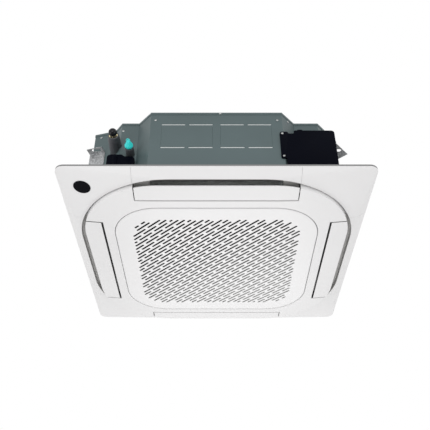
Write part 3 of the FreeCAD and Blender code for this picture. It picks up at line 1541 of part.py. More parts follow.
bevel = (edge[0] - s.edge_bevel, edge[1] - s.edge_bevel)
border = bowl((*FIELD, 0), (*bevel, s.mouth_level))
border = border.fuse(bowl((*bevel, s.mouth_level), (*edge, s.grille_wall)))
flange_out = (edge[0] - s.flange_inset, edge[1] - s.flange_inset)
flange = prism(*flange_out, s.grille_wall, s.flange_top)
flange = flange.cut(prism(flange_out[0] - s.flange_wall, flange_out[1] - s.flange_wall, 0, s.ceiling))
bead = prism(s.bead_half, s.bead_radius, s.grille_wall, s.bead_top)
bead = bead.cut(prism(s.bead_half - s.bead_wall, s.bead_radius - s.bead_wall, 0, s.ceiling))
arm_far = s.hinge_side + s.hinge_arm_thick
ear_start = arm_far + s.hinge_ear_gap
ear_stop = ear_start + s.hinge_ear_long
ears = []
notches = []
ear_bores = []
pockets = []
for sign in (-1, 1):
    x_span = tuple(sorted((sign * ear_start, sign * ear_stop)))
    y_span = (s.hinge_place - s.hinge_ear_half, s.hinge_place + s.hinge_ear_half)
    ears.append(slab(x_span, y_span, (s.grille_wall, s.hinge_level + s.hinge_ear_half)))
    bore_start = Vector(sign * (ear_start - s.overrun), s.hinge_place, s.hinge_level)
    ear_bores.append(Part.makeCylinder(
        s.hinge_pin_radius + s.running_gap, s.hinge_ear_long + 2 * s.overrun, bore_start, EAST * sign
    ))
    notch_span = tuple(sorted((sign * (s.hinge_side - s.ear_width), sign * (ear_stop + s.ear_width))))
    notches.append(slab(notch_span, (s.hinge_place, s.rim_half), (s.grille_wall, s.ceiling)))
    pocket_span = tuple(sorted((sign * (s.hinge_side - s.hinge_ear_gap), sign * ear_start)))
    pocket_run = (s.hinge_place - s.hinge_arm_half - s.hinge_ear_gap, s.hinge_place + s.hinge_pocket_reach)
    pockets.append(slab(pocket_span, pocket_run, (s.grille_wall - s.hinge_pocket_depth, s.hinge_level)))
border = border.fuse([flange.cut(notches), bead, *ears])
border = border.cut([*ear_bores, *pockets, prism(*FIELD, -s.overrun, s.overrun)])
border = border.removeSplitter()
reach = s.field_half + s.touch_gap
faces = [face for face in border.Faces if max(abs(v) for v in (
    face.BoundBox.XMin, face.BoundBox.XMax, face.BoundBox.YMin, face.BoundBox.YMax)) > reach]
faces.extend((sieve_face, sieve_top))
for wire in slots:
    faces.extend(wire.extrude(UP * s.grille_wall).Faces)
keep(feature("intake_grille", sewn(faces)), "intake_grille")

# Air filter: a frame with ribs and a fine net, resting on the grille's bead

filter_top = s.bead_top + s.filter_height
filter_in = (s.filter_half - s.filter_border, s.filter_radius - s.filter_border)
filter_frame = prism(s.filter_half, s.filter_radius, s.bead_top, filter_top)
filter_frame = filter_frame.cut(prism(*filter_in, 0, s.ceiling))
net_plan = (s.filter_half - s.filter_border / 2, s.filter_radius - s.filter_border / 2)
net_level = s.bead_top + s.filter_height / 2
net = prism(*net_plan, net_level, net_level + s.filter_net)
cell = 2 * filter_in[0] / s.filter_cells
ribs = []
for number in range(1, int(s.filter_cells)):
    middle = -filter_in[0] + number * cell
    strip = (middle - s.filter_rib / 2, middle + s.filter_rib / 2)
    length = (-s.filter_half, s.filter_half)
    ribs.append(slab(strip, length, (s.bead_top, filter_top)))
    ribs.append(slab(length, strip, (s.bead_top, filter_top)))
ribs = ribs[0].fuse(ribs[1:]).common(prism(*net_plan, s.bead_top, filter_top))
keep(feature("air_filter", filter_frame.fuse([net, ribs]).removeSplitter()), "air_filter")

# Hinge arms: two arms down from the deck, each with a pin for the grille's ear

arms = []
for sign in (-1, 1):
    x_span = tuple(sorted((sign * s.hinge_side, sign * arm_far)))
    y_span = (s.hinge_place - s.hinge_arm_half, s.hinge_place + s.hinge_arm_half)
    bar = slab(x_span, y_span, (s.hinge_level, s.deck_level))
    pin_start = Vector(sign * s.hinge_side, s.hinge_place, s.hinge_level)
    foot = Part.makeCylinder(s.hinge_arm_half, s.hinge_arm_thick, pin_start, EAST * sign)
    pin = Part.makeCylinder(s.hinge_pin_radius, ear_stop - s.hinge_side, pin_start, EAST * sign)
    top_span = (s.hinge_place - s.hinge_arm_half, s.deck_open_half + s.ear_width)
    top = slab(x_span, top_span, (s.deck_level - s.hinge_arm_thick / 2, s.deck_level))
    arms.append(bar.fuse([foot, pin, top]).removeSplitter())
keep(feature("hinge_arms", Part.makeCompound(arms)), "hinge_arms")

# Latch plungers over the grille's flange

for side, sign in (("left", -1), ("right", 1)):
    plunger_low = s.flange_top + s.touch_gap
    plunger_top = s.deck_level - s.latch_lift - s.latch_room
    plunger = drum(s.latch_radius, plunger_low, plunger_top, sign * s.latch_side, -boss_out)
    keep(feature("latch_" + side, plunger), "latch_" + side)

# Recompute, check and write

doc.recompute()
for thing in doc.Objects:
    if "Invalid" in thing.State or "Error" in thing.State:
        raise RuntimeError(f"{thing.Name} did not recompute")
labels = [part.Label for part in PARTS]
if len(set(labels)) != len(labels):
    raise RuntimeError("two sub-parts share a name")
for part in PARTS:
    if part.Shape.isNull() or not part.Shape.isValid():
        raise RuntimeError(f"{part.Label} has no valid shape")
os.makedirs("parts", exist_ok=True)
for part in PARTS:
    part.Shape.exportStep(os.path.join("parts", part.Label + ".step"))
print("sub-parts written:", len(PARTS))
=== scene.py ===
import math

import bmesh
import bpy
from mathutils import Matrix, Vector


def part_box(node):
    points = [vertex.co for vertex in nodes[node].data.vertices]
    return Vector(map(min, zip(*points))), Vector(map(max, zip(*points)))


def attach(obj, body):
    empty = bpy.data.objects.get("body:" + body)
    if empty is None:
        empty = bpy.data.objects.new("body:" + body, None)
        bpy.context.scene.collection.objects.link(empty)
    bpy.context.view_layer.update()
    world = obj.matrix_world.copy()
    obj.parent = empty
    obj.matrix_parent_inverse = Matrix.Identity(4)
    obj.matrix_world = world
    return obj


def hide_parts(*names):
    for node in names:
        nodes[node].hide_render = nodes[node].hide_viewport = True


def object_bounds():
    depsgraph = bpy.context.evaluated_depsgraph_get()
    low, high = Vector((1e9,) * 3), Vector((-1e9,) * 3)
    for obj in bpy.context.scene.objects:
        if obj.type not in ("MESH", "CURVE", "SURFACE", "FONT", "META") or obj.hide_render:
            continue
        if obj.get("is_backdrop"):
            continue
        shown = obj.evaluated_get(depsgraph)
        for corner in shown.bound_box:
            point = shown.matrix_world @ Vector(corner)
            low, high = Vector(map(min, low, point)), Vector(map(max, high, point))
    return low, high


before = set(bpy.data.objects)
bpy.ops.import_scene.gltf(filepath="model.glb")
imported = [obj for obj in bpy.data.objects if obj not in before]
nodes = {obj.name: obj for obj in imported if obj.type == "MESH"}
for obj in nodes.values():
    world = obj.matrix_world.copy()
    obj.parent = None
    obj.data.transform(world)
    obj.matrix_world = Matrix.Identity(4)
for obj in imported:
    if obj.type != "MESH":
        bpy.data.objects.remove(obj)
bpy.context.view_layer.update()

# Studio
# The unit hangs over a pale floor in a white room, seen from below and in front. Soft lamps stand low
# on every side, a small one in front gives the highlights, and the room itself gives the other light.

EYE = Vector((0.0, -1.87006, -1.15159))
EYE_TILT = math.radians(36.18)
LENS_MM = 52.79
SENSOR_MM = 36.0
PRINCIPAL_SHIFT = -0.00344
NEAREST = 0.05
FARTHEST = 60.0
FLOOR_LEVEL = -2.6
FLOOR_HALF = 9.0
FLOOR_DARK = (0.84, 0.84, 0.84, 1.0)
FLOOR_PALE = (0.88, 0.88, 0.88, 1.0)
FLOOR_CLOUD_SCALE = 3.0
FLOOR_CLOUD_DETAIL = 4.0
FLOOR_ROUGH = 0.9
ROOM_LIGHT = 0.55
LAMPS = {
    # place, aimed at, width and watts
    "left_lamp": ((-2.6, -1.25, -1.5), (0.0, 0.0, 0.05), 1.8, 26.5),
    "right_lamp": ((2.6, -1.2, -1.7), (0.0, 0.0, 0.05), 1.8, 24.0),
    "front_lamp": ((0.2, -3.1, 0.1), (0.0, -0.2, 0.1), 2.0, 17.0),
    "rear_lamp": ((0.1, 2.1, -1.7), (0.0, 0.0, 0.0), 1.6, 23.5),
    "small_lamp": ((-0.8, -2.8, -0.4), (-0.3, -0.4, 0.2), 0.34, 8.0),
}

eye_data = bpy.data.cameras.new("eye")
eye_data.sensor_width = SENSOR_MM
eye_data.lens = LENS_MM
eye_data.shift_x = PRINCIPAL_SHIFT
eye_data.clip_start = NEAREST
eye_data.clip_end = FARTHEST
eye = bpy.data.objects.new("eye", eye_data)
eye.location = EYE
eye.rotation_euler = (math.pi / 2 + EYE_TILT, 0.0, 0.0)
bpy.context.collection.objects.link(eye)
bpy.context.scene.camera = eye
bpy.context.scene.view_settings.view_transform = "Standard"

for name, (place, target, width, watts) in LAMPS.items():
    lamp_data = bpy.data.lights.new(name, "AREA")
    lamp_data.size = width
    lamp_data.energy = watts
    lamp = bpy.data.objects.new(name, lamp_data)
    lamp.location = place
    lamp.rotation_euler = (Vector(target) - Vector(place)).to_track_quat("-Z", "Y").to_euler()
    lamp.visible_camera = False
    bpy.context.collection.objects.link(lamp)


def add(tree, kind, sockets=None, **settings):
    """Puts in one shader node with its settings, and with values or links on its sockets."""
    made = tree.nodes.new(kind)
    for key, value in settings.items():
        setattr(made, key, value)
    for key, value in (sockets or {}).items():
        if isinstance(value, bpy.types.NodeSocket):
            tree.links.new(value, made.inputs[key])
        else:
            made.inputs[key].default_value = value
    return made


def combine(tree, how, first, second=0.0):
    """Two masks or numbers put together by one sum."""
    return add(tree, "ShaderNodeMath", {0: first, 1: second}, operation=how).outputs[0]


room = bpy.data.worlds.new("white_room")
bpy.context.scene.world = room
room.use_nodes = True
room.node_tree.nodes.clear()
ray = add(room.node_tree, "ShaderNodeLightPath").outputs
seen = combine(room.node_tree, "MAXIMUM", ray["Is Camera Ray"], ray["Is Glossy Ray"])
seen = combine(room.node_tree, "MAXIMUM", seen, ray["Is Transmission Ray"])
strength = add(room.node_tree, "ShaderNodeMapRange", {"Value": seen, "To Min": ROOM_LIGHT, "To Max": 1.0})
backdrop = add(room.node_tree, "ShaderNodeBackground", {
    "Color": (1.0, 1.0, 1.0, 1.0), "Strength": strength.outputs["Result"]})
add(room.node_tree, "ShaderNodeOutputWorld", {"Surface": backdrop.outputs[0]})


def new_material(name):
    """An empty material and its node tree."""
    made = bpy.data.materials.new(name)
    made.use_nodes = True
    made.node_tree.nodes.clear()
    return made, made.node_tree


def coat(tree, **sockets):
    """The material's own shader, put on its surface."""
    named = {key.replace("_", " "): value for key, value in sockets.items()}
    shader = add(tree, "ShaderNodeBsdfPrincipled", named)
    add(tree, "ShaderNodeOutputMaterial", {"Surface": shader.outputs[0]})


def two_tone(tree, mask, dark, pale):
    """A colour between two by a mask."""
    return add(tree, "ShaderNodeMix", {"Factor": mask, "A": dark, "B": pale}, data_type="RGBA").outputs[2]


def from_bmesh(name, bm):
    """An object of the scene from a mesh under construction, with its faces turned outwards."""
    bmesh.ops.recalc_face_normals(bm, faces=bm.faces)
    mesh = bpy.data.meshes.new(name)
    bm.to_mesh(mesh)
    bm.free()
    made = bpy.data.objects.new(name, mesh)
    bpy.context.collection.objects.link(made)
    return made


floor_paint, tree = new_material("floor_paint")
cloud = add(tree, "ShaderNodeTexNoise", {"Scale": FLOOR_CLOUD_SCALE, "Detail": FLOOR_CLOUD_DETAIL})
floor_tone = two_tone(tree, cloud.outputs["Fac"], FLOOR_DARK, FLOOR_PALE)
coat(tree, Base_Color=floor_tone, Roughness=FLOOR_ROUGH)
bm = bmesh.new()
bmesh.ops.create_grid(bm, x_segments=2, y_segments=2, size=FLOOR_HALF)
floor = from_bmesh("floor", bm)
floor.location.z = FLOOR_LEVEL
floor.data.materials.append(floor_paint)
floor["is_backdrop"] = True

# Casing sheets
# Six pieces of pre-coated sheet steel, cut, folded on a brake and screwed together, make the casing's lid
# and sides. The coating is a satin greenish grey with a faint orange peel.

SHEETS = ("top_plate", "front_panel", "rear_panel", "right_panel", "left_panel", "piping_panel")
SHEET_DARK = (0.060, 0.090, 0.092, 1.0)
SHEET_PALE = (0.112, 0.158, 0.165, 1.0)
SHEET_SKIN = {"Smooth": 0.38, "Rough": 0.5, "Broad": 6.0, "Fine": 900.0, "Depth": 0.00003}
PATCH_DETAIL = 3.0
PATCH_LEAST = 0.3
PATCH_MOST = 0.7
GRAIN_DETAIL = 2.0
CREASE_DEGREES = 35.0
SCORE_NEAR = 0.0125
SCORE_FAR = 0.175
SCORE_LOW = 0.187
SCORE_HIGH = 0.267
SCORE_WIDTH = 0.00078
SCORE_EDGE = 0.00025
SCORE_DEPTH = 0.0006
SCORE_BACK = 0.0011


def new_group(name, inputs, outputs):
    """A shader node group with number inputs, given as name and value, and its outputs."""
    group = bpy.data.node_groups.new(name, "ShaderNodeTree")
    for label, value in inputs.items():
        socket = group.interface.new_socket(label, in_out="INPUT", socket_type="NodeSocketFloat")
        socket.default_value = value
    for label, kind in outputs.items():
        group.interface.new_socket(label, in_out="OUTPUT", socket_type=kind)
    return group, group.nodes.new("NodeGroupInput").outputs, group.nodes.new("NodeGroupOutput").inputs


def spot(tree):
    """Where on the object a point of its surface lies, in metres."""
    return add(tree, "ShaderNodeTexCoord").outputs["Object"]


def axes(tree):
    """The same place as its three measures."""
    return add(tree, "ShaderNodeSeparateXYZ", {"Vector": spot(tree)}).outputs


# Broad patches of tone and of roughness between Smooth and Rough, and a fine grain that stands in relief
# by its depth in metres.
mottle, entry, leave = new_group(
    "mottle",
    {"Broad": 3.0, "Fine": 400.0, "Depth": 0.0001, "Smooth": 0.4, "Rough": 0.5},
    {"Patches": "NodeSocketFloat", "Roughness": "NodeSocketFloat", "Normal": "NodeSocketVector"},
)
where = spot(mottle)
patches = add(mottle, "ShaderNodeTexNoise", {
    "Vector": where, "Scale": entry["Broad"], "Detail": PATCH_DETAIL})
grain = add(mottle, "ShaderNodeTexNoise", {"Vector": where, "Scale": entry["Fine"], "Detail": GRAIN_DETAIL})
spread = add(mottle, "ShaderNodeMapRange", {
    "Value": patches.outputs["Fac"], "From Min": PATCH_LEAST, "From Max": PATCH_MOST,
    "To Min": entry["Smooth"], "To Max": entry["Rough"]})
bump = add(mottle, "ShaderNodeBump", {"Height": grain.outputs["Fac"], "Distance": entry["Depth"]})
mottle.links.new(patches.outputs["Fac"], leave["Patches"])
mottle.links.new(spread.outputs["Result"], leave["Roughness"])
mottle.links.new(bump.outputs["Normal"], leave["Normal"])


def placed(tree, group, **values):
    """A node group put into a material with its own values."""
    made = tree.nodes.new("ShaderNodeGroup")
    made.node_tree = group
    for key, value in values.items():
        made.inputs[key].default_value = value
    return made.outputs


def clothe(material, *names):
    """Gives CAD nodes a material."""
    for name in names:
        slots = nodes[name].data.materials
        slots.clear()
        slots.append(material)


def band(bm, low, high):
    """A band of faces between two rings of as many points."""
    count = len(low)
    for i in range(count):
        after = (i + 1) % count
        bm.faces.new((low[i], low[after], high[after], high[i]))


def finished(piece, material, body, slot, *stands_for, crease=CREASE_DEGREES):
    """Gives a new piece its smooth faces, material and body, and hides the CAD nodes that it stands for; its
    slot is not used.
    """
    piece.data.materials.append(material)
    piece.data.shade_smooth()
    piece.data.set_sharp_from_angle(angle=math.radians(crease))
    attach(piece, body)
    if stands_for:
        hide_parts(*stands_for)


# Painted light and shade: the sheets are coloured darker towards the lid and paler towards the panel,
# and half of their tone goes by the patches.
low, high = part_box("front_panel")
coated_sheet, tree = new_material("coated_sheet")
skin = placed(tree, mottle, **SHEET_SKIN)
shade_and_tone = add(tree, "ShaderNodeMapRange", {
    "Value": axes(tree)["Z"], "From Min": high.z, "From Max": low.z}).outputs["Result"]
shade_and_tone = combine(tree, "MULTIPLY", combine(tree, "ADD", shade_and_tone, skin["Patches"]), 0.5)
coat(tree, Base_Color=two_tone(tree, shade_and_tone, SHEET_DARK, SHEET_PALE), Roughness=skin["Roughness"],
     Normal=skin["Normal"])
clothe(coated_sheet, *SHEETS)

# The knock-outs' upright edges are scored from outside, and a thin web of metal stays in each score.
bm = bmesh.new()
for out, face in ((-1, low.y), (1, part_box("rear_panel")[1].y)):
    for across in (-SCORE_FAR, -SCORE_NEAR, SCORE_NEAR, SCORE_FAR):
        profile = [(across - SCORE_WIDTH / 2, SCORE_EDGE), (across, SCORE_DEPTH),
                   (across + SCORE_WIDTH / 2, SCORE_EDGE), (across + SCORE_WIDTH / 2, SCORE_BACK),
                   (across - SCORE_WIDTH / 2, SCORE_BACK)]
        ends = [[bm.verts.new((x, face - out * depth, z)) for x, depth in profile]
                for z in (SCORE_LOW, SCORE_HIGH)]
        band(bm, *ends)
        for end in ends:
            bm.faces.new(end)
webs = from_bmesh("score_webs", bm)
finished(webs, coated_sheet, "housing", "coated_steel")

# Foam liner and drain pan
# Pale bead foam, steam-moulded in one piece each. The liner is glued inside the sheets, and the pan, with
# its trough and four air slots, is pushed up into the casing from below.

FOAM_SEAM_SHADE = (0.70, 0.72, 0.72, 1.0)
FOAM_PALE = (0.86, 0.88, 0.87, 1.0)
BEADS_PER_METRE = 260.0
BEAD_DEPTH = 0.0005
FOAM_ROUGH = 0.85

foam, tree = new_material("bead_foam")
# Each bead is paler in its middle and darker towards its seams, where the relief sinks: painted shade.
beads = add(tree, "ShaderNodeTexVoronoi", {"Vector": spot(tree), "Scale": BEADS_PER_METRE},
            feature="SMOOTH_F1")
relief = add(tree, "ShaderNodeBump", {"Height": beads.outputs["Distance"], "Distance": -BEAD_DEPTH})
coat(tree, Base_Color=two_tone(tree, beads.outputs["Distance"], FOAM_PALE, FOAM_SEAM_SHADE),
     Roughness=FOAM_ROUGH, Normal=relief.outputs["Normal"])
clothe(foam, "foam_liner", "drain_pan")

# Bell mouth and turbo wheel
# Injection-moulded pale grey plastic. The bell mouth is screwed into the pan's eye, and the wheel hangs
# over it on the motor's shaft, held by a nut.

WHEEL_DARK = (0.50, 0.51, 0.51, 1.0)
WHEEL_PALE = (0.60, 0.61, 0.61, 1.0)
WHEEL_SKIN = {"Smooth": 0.36, "Rough": 0.48, "Broad": 6.0, "Fine": 700.0, "Depth": 0.00003}


def mottled(name, dark, pale, finish, **plain):
    """A material that varies in patches, with a fine grain in relief, both by the values of its finish."""
    made, tree = new_material(name)
    skin = placed(tree, mottle, **finish)
    tone = two_tone(tree, skin["Patches"], dark, pale)
    coat(tree, Base_Color=tone, Roughness=skin["Roughness"], Normal=skin["Normal"], **plain)
    return made


fan_plastic = mottled("fan_plastic", WHEEL_DARK, WHEEL_PALE, WHEEL_SKIN)
clothe(fan_plastic, "bell_mouth", "fan_impeller")

# Fan motor
# A painted steel shell on four rubber mounts, bolted up to the lid. Shaft, nut, bolts and the casing's
# screws are zinc plated, and the vane motors wear the same dark paint.

MOTOR_DARK = (0.09, 0.095, 0.10, 1.0)
MOTOR_PALE = (0.13, 0.135, 0.14, 1.0)
MOTOR_SKIN = {"Smooth": 0.35, "Rough": 0.5, "Broad": 20.0, "Fine": 800.0, "Depth": 0.00003}
ZINC_DARK = (0.38, 0.39, 0.39, 1.0)
ZINC_PALE = (0.58, 0.59, 0.58, 1.0)
ZINC_SKIN = {"Smooth": 0.25, "Rough": 0.4, "Broad": 90.0, "Fine": 1500.0, "Depth": 0.00001}
RUBBER_DARK = (0.016, 0.016, 0.016, 1.0)
RUBBER_PALE = (0.032, 0.032, 0.032, 1.0)
RUBBER_SKIN = {"Smooth": 0.55, "Rough": 0.75, "Broad": 40.0, "Fine": 900.0, "Depth": 0.00005}

motor_paint = mottled("motor_paint", MOTOR_DARK, MOTOR_PALE, MOTOR_SKIN)
clothe(motor_paint, "fan_motor", "vane_motors")
plated = mottled("zinc_plate", ZINC_DARK, ZINC_PALE, ZINC_SKIN, Metallic=1.0)
clothe(plated, "motor_shaft", "fan_nut", "motor_bolts")
rubber = mottled("rubber", RUBBER_DARK, RUBBER_PALE, RUBBER_SKIN)
clothe(rubber, "motor_mounts", "cable_gland", "duct_gaskets")

# Heat exchanger
# Thin aluminium fins pressed onto copper tubes and bent round the wheel, with galvanised end plates,
# brazed return bends and headers.

FIN_GAP_SHADE = (0.12, 0.13, 0.14, 1.0)
FIN_PALE = (0.75, 0.77, 0.78, 1.0)
FINS_PER_METRE = 180.0
FIN_DEPTH = 0.0004
FIN_WAVER = 0.3
FIN_ROUGH = 0.35
COPPER_DARK = (0.62, 0.28, 0.16, 1.0)
COPPER_PALE = (0.82, 0.42, 0.26, 1.0)
COPPER_SKIN = {"Smooth": 0.25, "Rough": 0.42, "Broad": 30.0, "Fine": 900.0, "Depth": 0.00001}
SPANGLE_DARK = (0.27, 0.275, 0.28, 1.0)
SPANGLE_PALE = (0.50, 0.51, 0.52, 1.0)
SPANGLES_PER_METRE = 240.0
SPANGLE_DEPTH = 0.00008
SPANGLE_TILT = 0.5
SPANGLE_SMOOTH = 0.28
SPANGLE_ROUGH = 0.5
SPANGLE_METAL = 0.8

fins, tree = new_material("fins")
# The fin pack is one block, so bands of painted shade stand for the gaps between its fins.
leaves = add(tree, "ShaderNodeTexWave", {
    "Vector": spot(tree), "Scale": FINS_PER_METRE, "Distortion": FIN_WAVER},
    wave_type="BANDS", bands_direction="DIAGONAL").outputs["Fac"]
relief = add(tree, "ShaderNodeBump", {"Height": leaves, "Distance": FIN_DEPTH})
coat(tree, Base_Color=two_tone(tree, leaves, FIN_GAP_SHADE, FIN_PALE), Roughness=FIN_ROUGH, Metallic=1.0,
     Normal=relief.outputs["Normal"])
clothe(fins, "fin_pack")
copper = mottled("copper", COPPER_DARK, COPPER_PALE, COPPER_SKIN, Metallic=1.0)
clothe(copper, "return_bends", "header_pipes", "gas_pipe", "liquid_pipe")

# Zinc crystals with a tone, a gloss and a slight tilt of their own.
galvanised, tree = new_material("galvanised")
crystals = add(tree, "ShaderNodeTexVoronoi", {"Vector": spot(tree), "Scale": SPANGLES_PER_METRE})
own = add(tree, "ShaderNodeSeparateColor", {"Color": crystals.outputs["Color"]}).outputs
gloss = add(tree, "ShaderNodeMapRange", {
    "Value": own["Green"], "To Min": SPANGLE_SMOOTH, "To Max": SPANGLE_ROUGH})
relief = add(tree, "ShaderNodeBump", {
    "Height": own["Blue"], "Distance": SPANGLE_DEPTH, "Strength": SPANGLE_TILT})
coat(tree, Base_Color=two_tone(tree, own["Red"], SPANGLE_DARK, SPANGLE_PALE),
     Roughness=gloss.outputs["Result"], Metallic=SPANGLE_METAL, Normal=relief.outputs["Normal"])
clothe(galvanised, "end_plates")

# Drain pump
# A pale moulded pump with its motor and a float switch lifts the water to the outlet tube, which goes out
# through the left sheet. The vanes' bushes are of the same plastic.

PUMP_DARK = (0.52, 0.52, 0.48, 1.0)
PUMP_PALE = (0.62, 0.62, 0.58, 1.0)
PUMP_SKIN = {"Smooth": 0.38, "Rough": 0.5, "Broad": 15.0, "Fine": 900.0, "Depth": 0.00003}

pump_plastic = mottled("pump_plastic", PUMP_DARK, PUMP_PALE, PUMP_SKIN)
clothe(pump_plastic, "drain_pump", "pump_float", "drain_outlet", "vane_bushes")

# Control box
# A flame-proof black moulding on the right shoulder: a tray with the circuit board and terminals in it,
# and a wire gland on top. The moulding has a fine spark-eroded texture.

BLACK_DARK = (0.0010, 0.0014, 0.0040, 1.0)
BLACK_PALE = (0.0024, 0.0031, 0.0075, 1.0)
BLACK_SKIN = {"Smooth": 0.5, "Rough": 0.62, "Broad": 12.0, "Fine": 1300.0, "Depth": 0.00005}
BLACK_SPECULAR = 0.03
BOARD_DARK = (0.02, 0.11, 0.05, 1.0)
BOARD_PALE = (0.03, 0.16, 0.07, 1.0)
BOARD_SKIN = {"Smooth": 0.3, "Rough": 0.4, "Broad": 60.0, "Fine": 700.0, "Depth": 0.00003}
TERMINAL_DARK = (0.50, 0.50, 0.46, 1.0)
TERMINAL_PALE = (0.60, 0.60, 0.56, 1.0)
TERMINAL_SKIN = {"Smooth": 0.4, "Rough": 0.5, "Broad": 40.0, "Fine": 700.0, "Depth": 0.00003}

black_plastic = mottled("black_plastic", BLACK_DARK, BLACK_PALE, BLACK_SKIN,
                        Specular_IOR_Level=BLACK_SPECULAR)
clothe(black_plastic, "control_box")
board = mottled("board", BOARD_DARK, BOARD_PALE, BOARD_SKIN)
clothe(board, "control_board")
terminal_plastic = mottled("terminal_plastic", TERMINAL_DARK, TERMINAL_PALE, TERMINAL_SKIN)
clothe(terminal_plastic, "terminal_block")

# Control cover
# The box's black lid, moulded in one with the tab that two screws hold to the front sheet. Its edges and
# corners are rounded, a lug stands on its top edge, and the mould's gate left a faint round mark.

LID_EDGE = 0.0011
EDGE_STEPS = 3
ARC_PROFILE = 0.5
CORNER_STEPS = 5
LID_CORNER = 0.009
SHOULDER_CORNER = 0.003
NOTCH_CORNER = 0.002
FOOT_CORNER = 0.001
TAB_CORNER = 0.006
TAB_RIGHT = 0.226
TAB_FOOT = 0.217
TAB_LOW = 0.131
TAB_HIGH = 0.241
STRIP_HIGH = 0.233
LID_LEFT = 0.245
LUG_MIDDLE = 0.264
LUG_HALF = 0.0075
LUG_RISE = 0.0035
LUG_CORNER = 0.0015
GATE_PLACE = (0.304, 0.187)
GATE_RADIUS = 0.0022
GATE_RISE = 0.0003
GATE_TOP_SHARE = 0.8
GATE_STEPS = 24


def rounded(corners):
    """A closed outline from its corners, given across, up and by radius, with an arc at each."""
    path = []
    for i, (across, up, radius) in enumerate(corners):
        here = Vector((across, up))
        before = (Vector(corners[i - 1][:2]) - here).normalized()
        after = (Vector(corners[(i + 1) % len(corners)][:2]) - here).normalized()
        half = before.angle(after) / 2
        centre = here + (before + after).normalized() * radius / math.sin(half)
        first = here + before * radius / math.tan(half) - centre
        last = here + after * radius / math.tan(half) - centre
        path += [centre + radius * first.slerp(last, k / CORNER_STEPS) for k in range(CORNER_STEPS + 1)]
    return path


def in_order(bm):
    """Lists a mesh's parts by place, as its last step, because a bevel lists them anew in every run."""
    for parts, middle in (
        (bm.verts, lambda vert: vert.co),
        (bm.edges, lambda edge: edge.verts[0].co + edge.verts[1].co),
        (bm.faces, lambda face: face.calc_center_median()),
    ):
        by_place = sorted(parts, key=lambda part: tuple(middle(part)))
        rank = {part: i for i, part in enumerate(by_place)}
        parts.sort(key=rank.get)


def upright_plate(bm, outline, front, back, edge):
    """A plate with an outline across and up, between two depths, with its front edge rounded."""
    faces = [[bm.verts.new((point.x, depth, point.y)) for point in outline] for depth in (front, back)]
    band(bm, *faces)
    bm.faces.new(faces[1])
    rim = bm.faces.new(faces[0]).edges
    bmesh.ops.bevel(bm, geom=list(rim), offset=edge, segments=EDGE_STEPS, affect="EDGES",
                    profile=ARC_PROFILE)
    in_order(bm)


def ring(bm, place, steps, height, radius):
    """Points round an axis at one height, with a radius that may depend on the angle."""
    points = []
    for i in range(steps):
        angle = 2 * math.pi * i / steps
        reach = radius(angle) if callable(radius) else radius
        point = Vector((reach * math.cos(angle), reach * math.sin(angle), height))
        points.append(bm.verts.new(place @ point))
    return points


def turned(bm, place, steps, profile, closed=True):
    """A body turned round an axis from rings of height and radius, with its ends closed or open."""
    rings = [ring(bm, place, steps, height, radius) for height, radius in profile]
    for low, high in zip(rings, rings[1:]):
        band(bm, low, high)
    if closed:
        bm.faces.new(rings[0])
        bm.faces.new(rings[-1])
    else:
        band(bm, rings[-1], rings[0])


low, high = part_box("control_cover")
lug_left = LUG_MIDDLE - LUG_HALF
lug_right = LUG_MIDDLE + LUG_HALF
lug_top = high.z + LUG_RISE
bm = bmesh.new()
gate = Matrix.Translation((GATE_PLACE[0], low.y, GATE_PLACE[1])) @ Matrix.Rotation(math.pi / 2, 4, "X")
turned(bm, gate, GATE_STEPS, [(-GATE_RISE, GATE_RADIUS), (GATE_RISE / 2, GATE_RADIUS),
                              (GATE_RISE, GATE_RADIUS * GATE_TOP_SHARE)])
upright_plate(bm, rounded([
    (TAB_FOOT, low.z, FOOT_CORNER), (TAB_FOOT, TAB_LOW, NOTCH_CORNER),
    (low.x, TAB_LOW, TAB_CORNER), (low.x, TAB_HIGH, TAB_CORNER),
    (TAB_RIGHT, TAB_HIGH, SHOULDER_CORNER), (TAB_RIGHT, STRIP_HIGH, NOTCH_CORNER),
    (LID_LEFT, STRIP_HIGH, NOTCH_CORNER), (LID_LEFT, high.z, SHOULDER_CORNER),
    (lug_left, high.z, FOOT_CORNER), (lug_left, lug_top, LUG_CORNER),
    (lug_right, lug_top, LUG_CORNER), (lug_right, high.z, FOOT_CORNER),
    (high.x, high.z, LID_CORNER), (high.x, low.z, NOTCH_CORNER),
]), low.y, high.y, LID_EDGE)
lid = from_bmesh("control_lid", bm)
finished(lid, black_plastic, "housing", "black_plastic", "control_cover")

# Pipe sleeves
# Black closed-cell foam tubes, slid over the copper pipes from the casing out to their ends. The large
# one is drawn over the flare nut and stands round it as a soft lip. The skin is dull and a little wrinkled.

SLEEVE_DARK = (0.034, 0.034, 0.040, 1.0)
SLEEVE_PALE = (0.086, 0.089, 0.098, 1.0)
SLEEVE_SKIN = {"Smooth": 0.38, "Rough": 0.55, "Broad": 30.0, "Fine": 380.0, "Depth": 0.0004}
SLEEVE_CREASE_DEGREES = 60.0
SLEEVE_ROUND = 0.003
SLEEVE_STEPS = 64
SLEEVE_RINGS = 8
SLEEVE_FOLD = 0.0005
FOLDS_ONE_WAY = 3
FOLDS_OTHER_WAY = 5
FOLD_TURN = 2.0
MOUTH_FOLD_TURNS = (7.0, 9.0, 11.0)
LIP_OUT = 0.0165
LIP_SWELL_SHARE = 0.55
LIP_SHOULDER_SHARE = 0.85
LIP_BRIM_SHARE = 0.97
LIP_WALL = 0.0018
LIP_WIDTH_SHARE = 0.9
LIP_MOUTH = 0.0138
NUT_BORE = 0.0168
PIPE_BORE = 0.0083
ROUNDING_STEPS = 3
ROUNDING_DEGREES = 40.0
ROUNDING_PER_WELD = 50


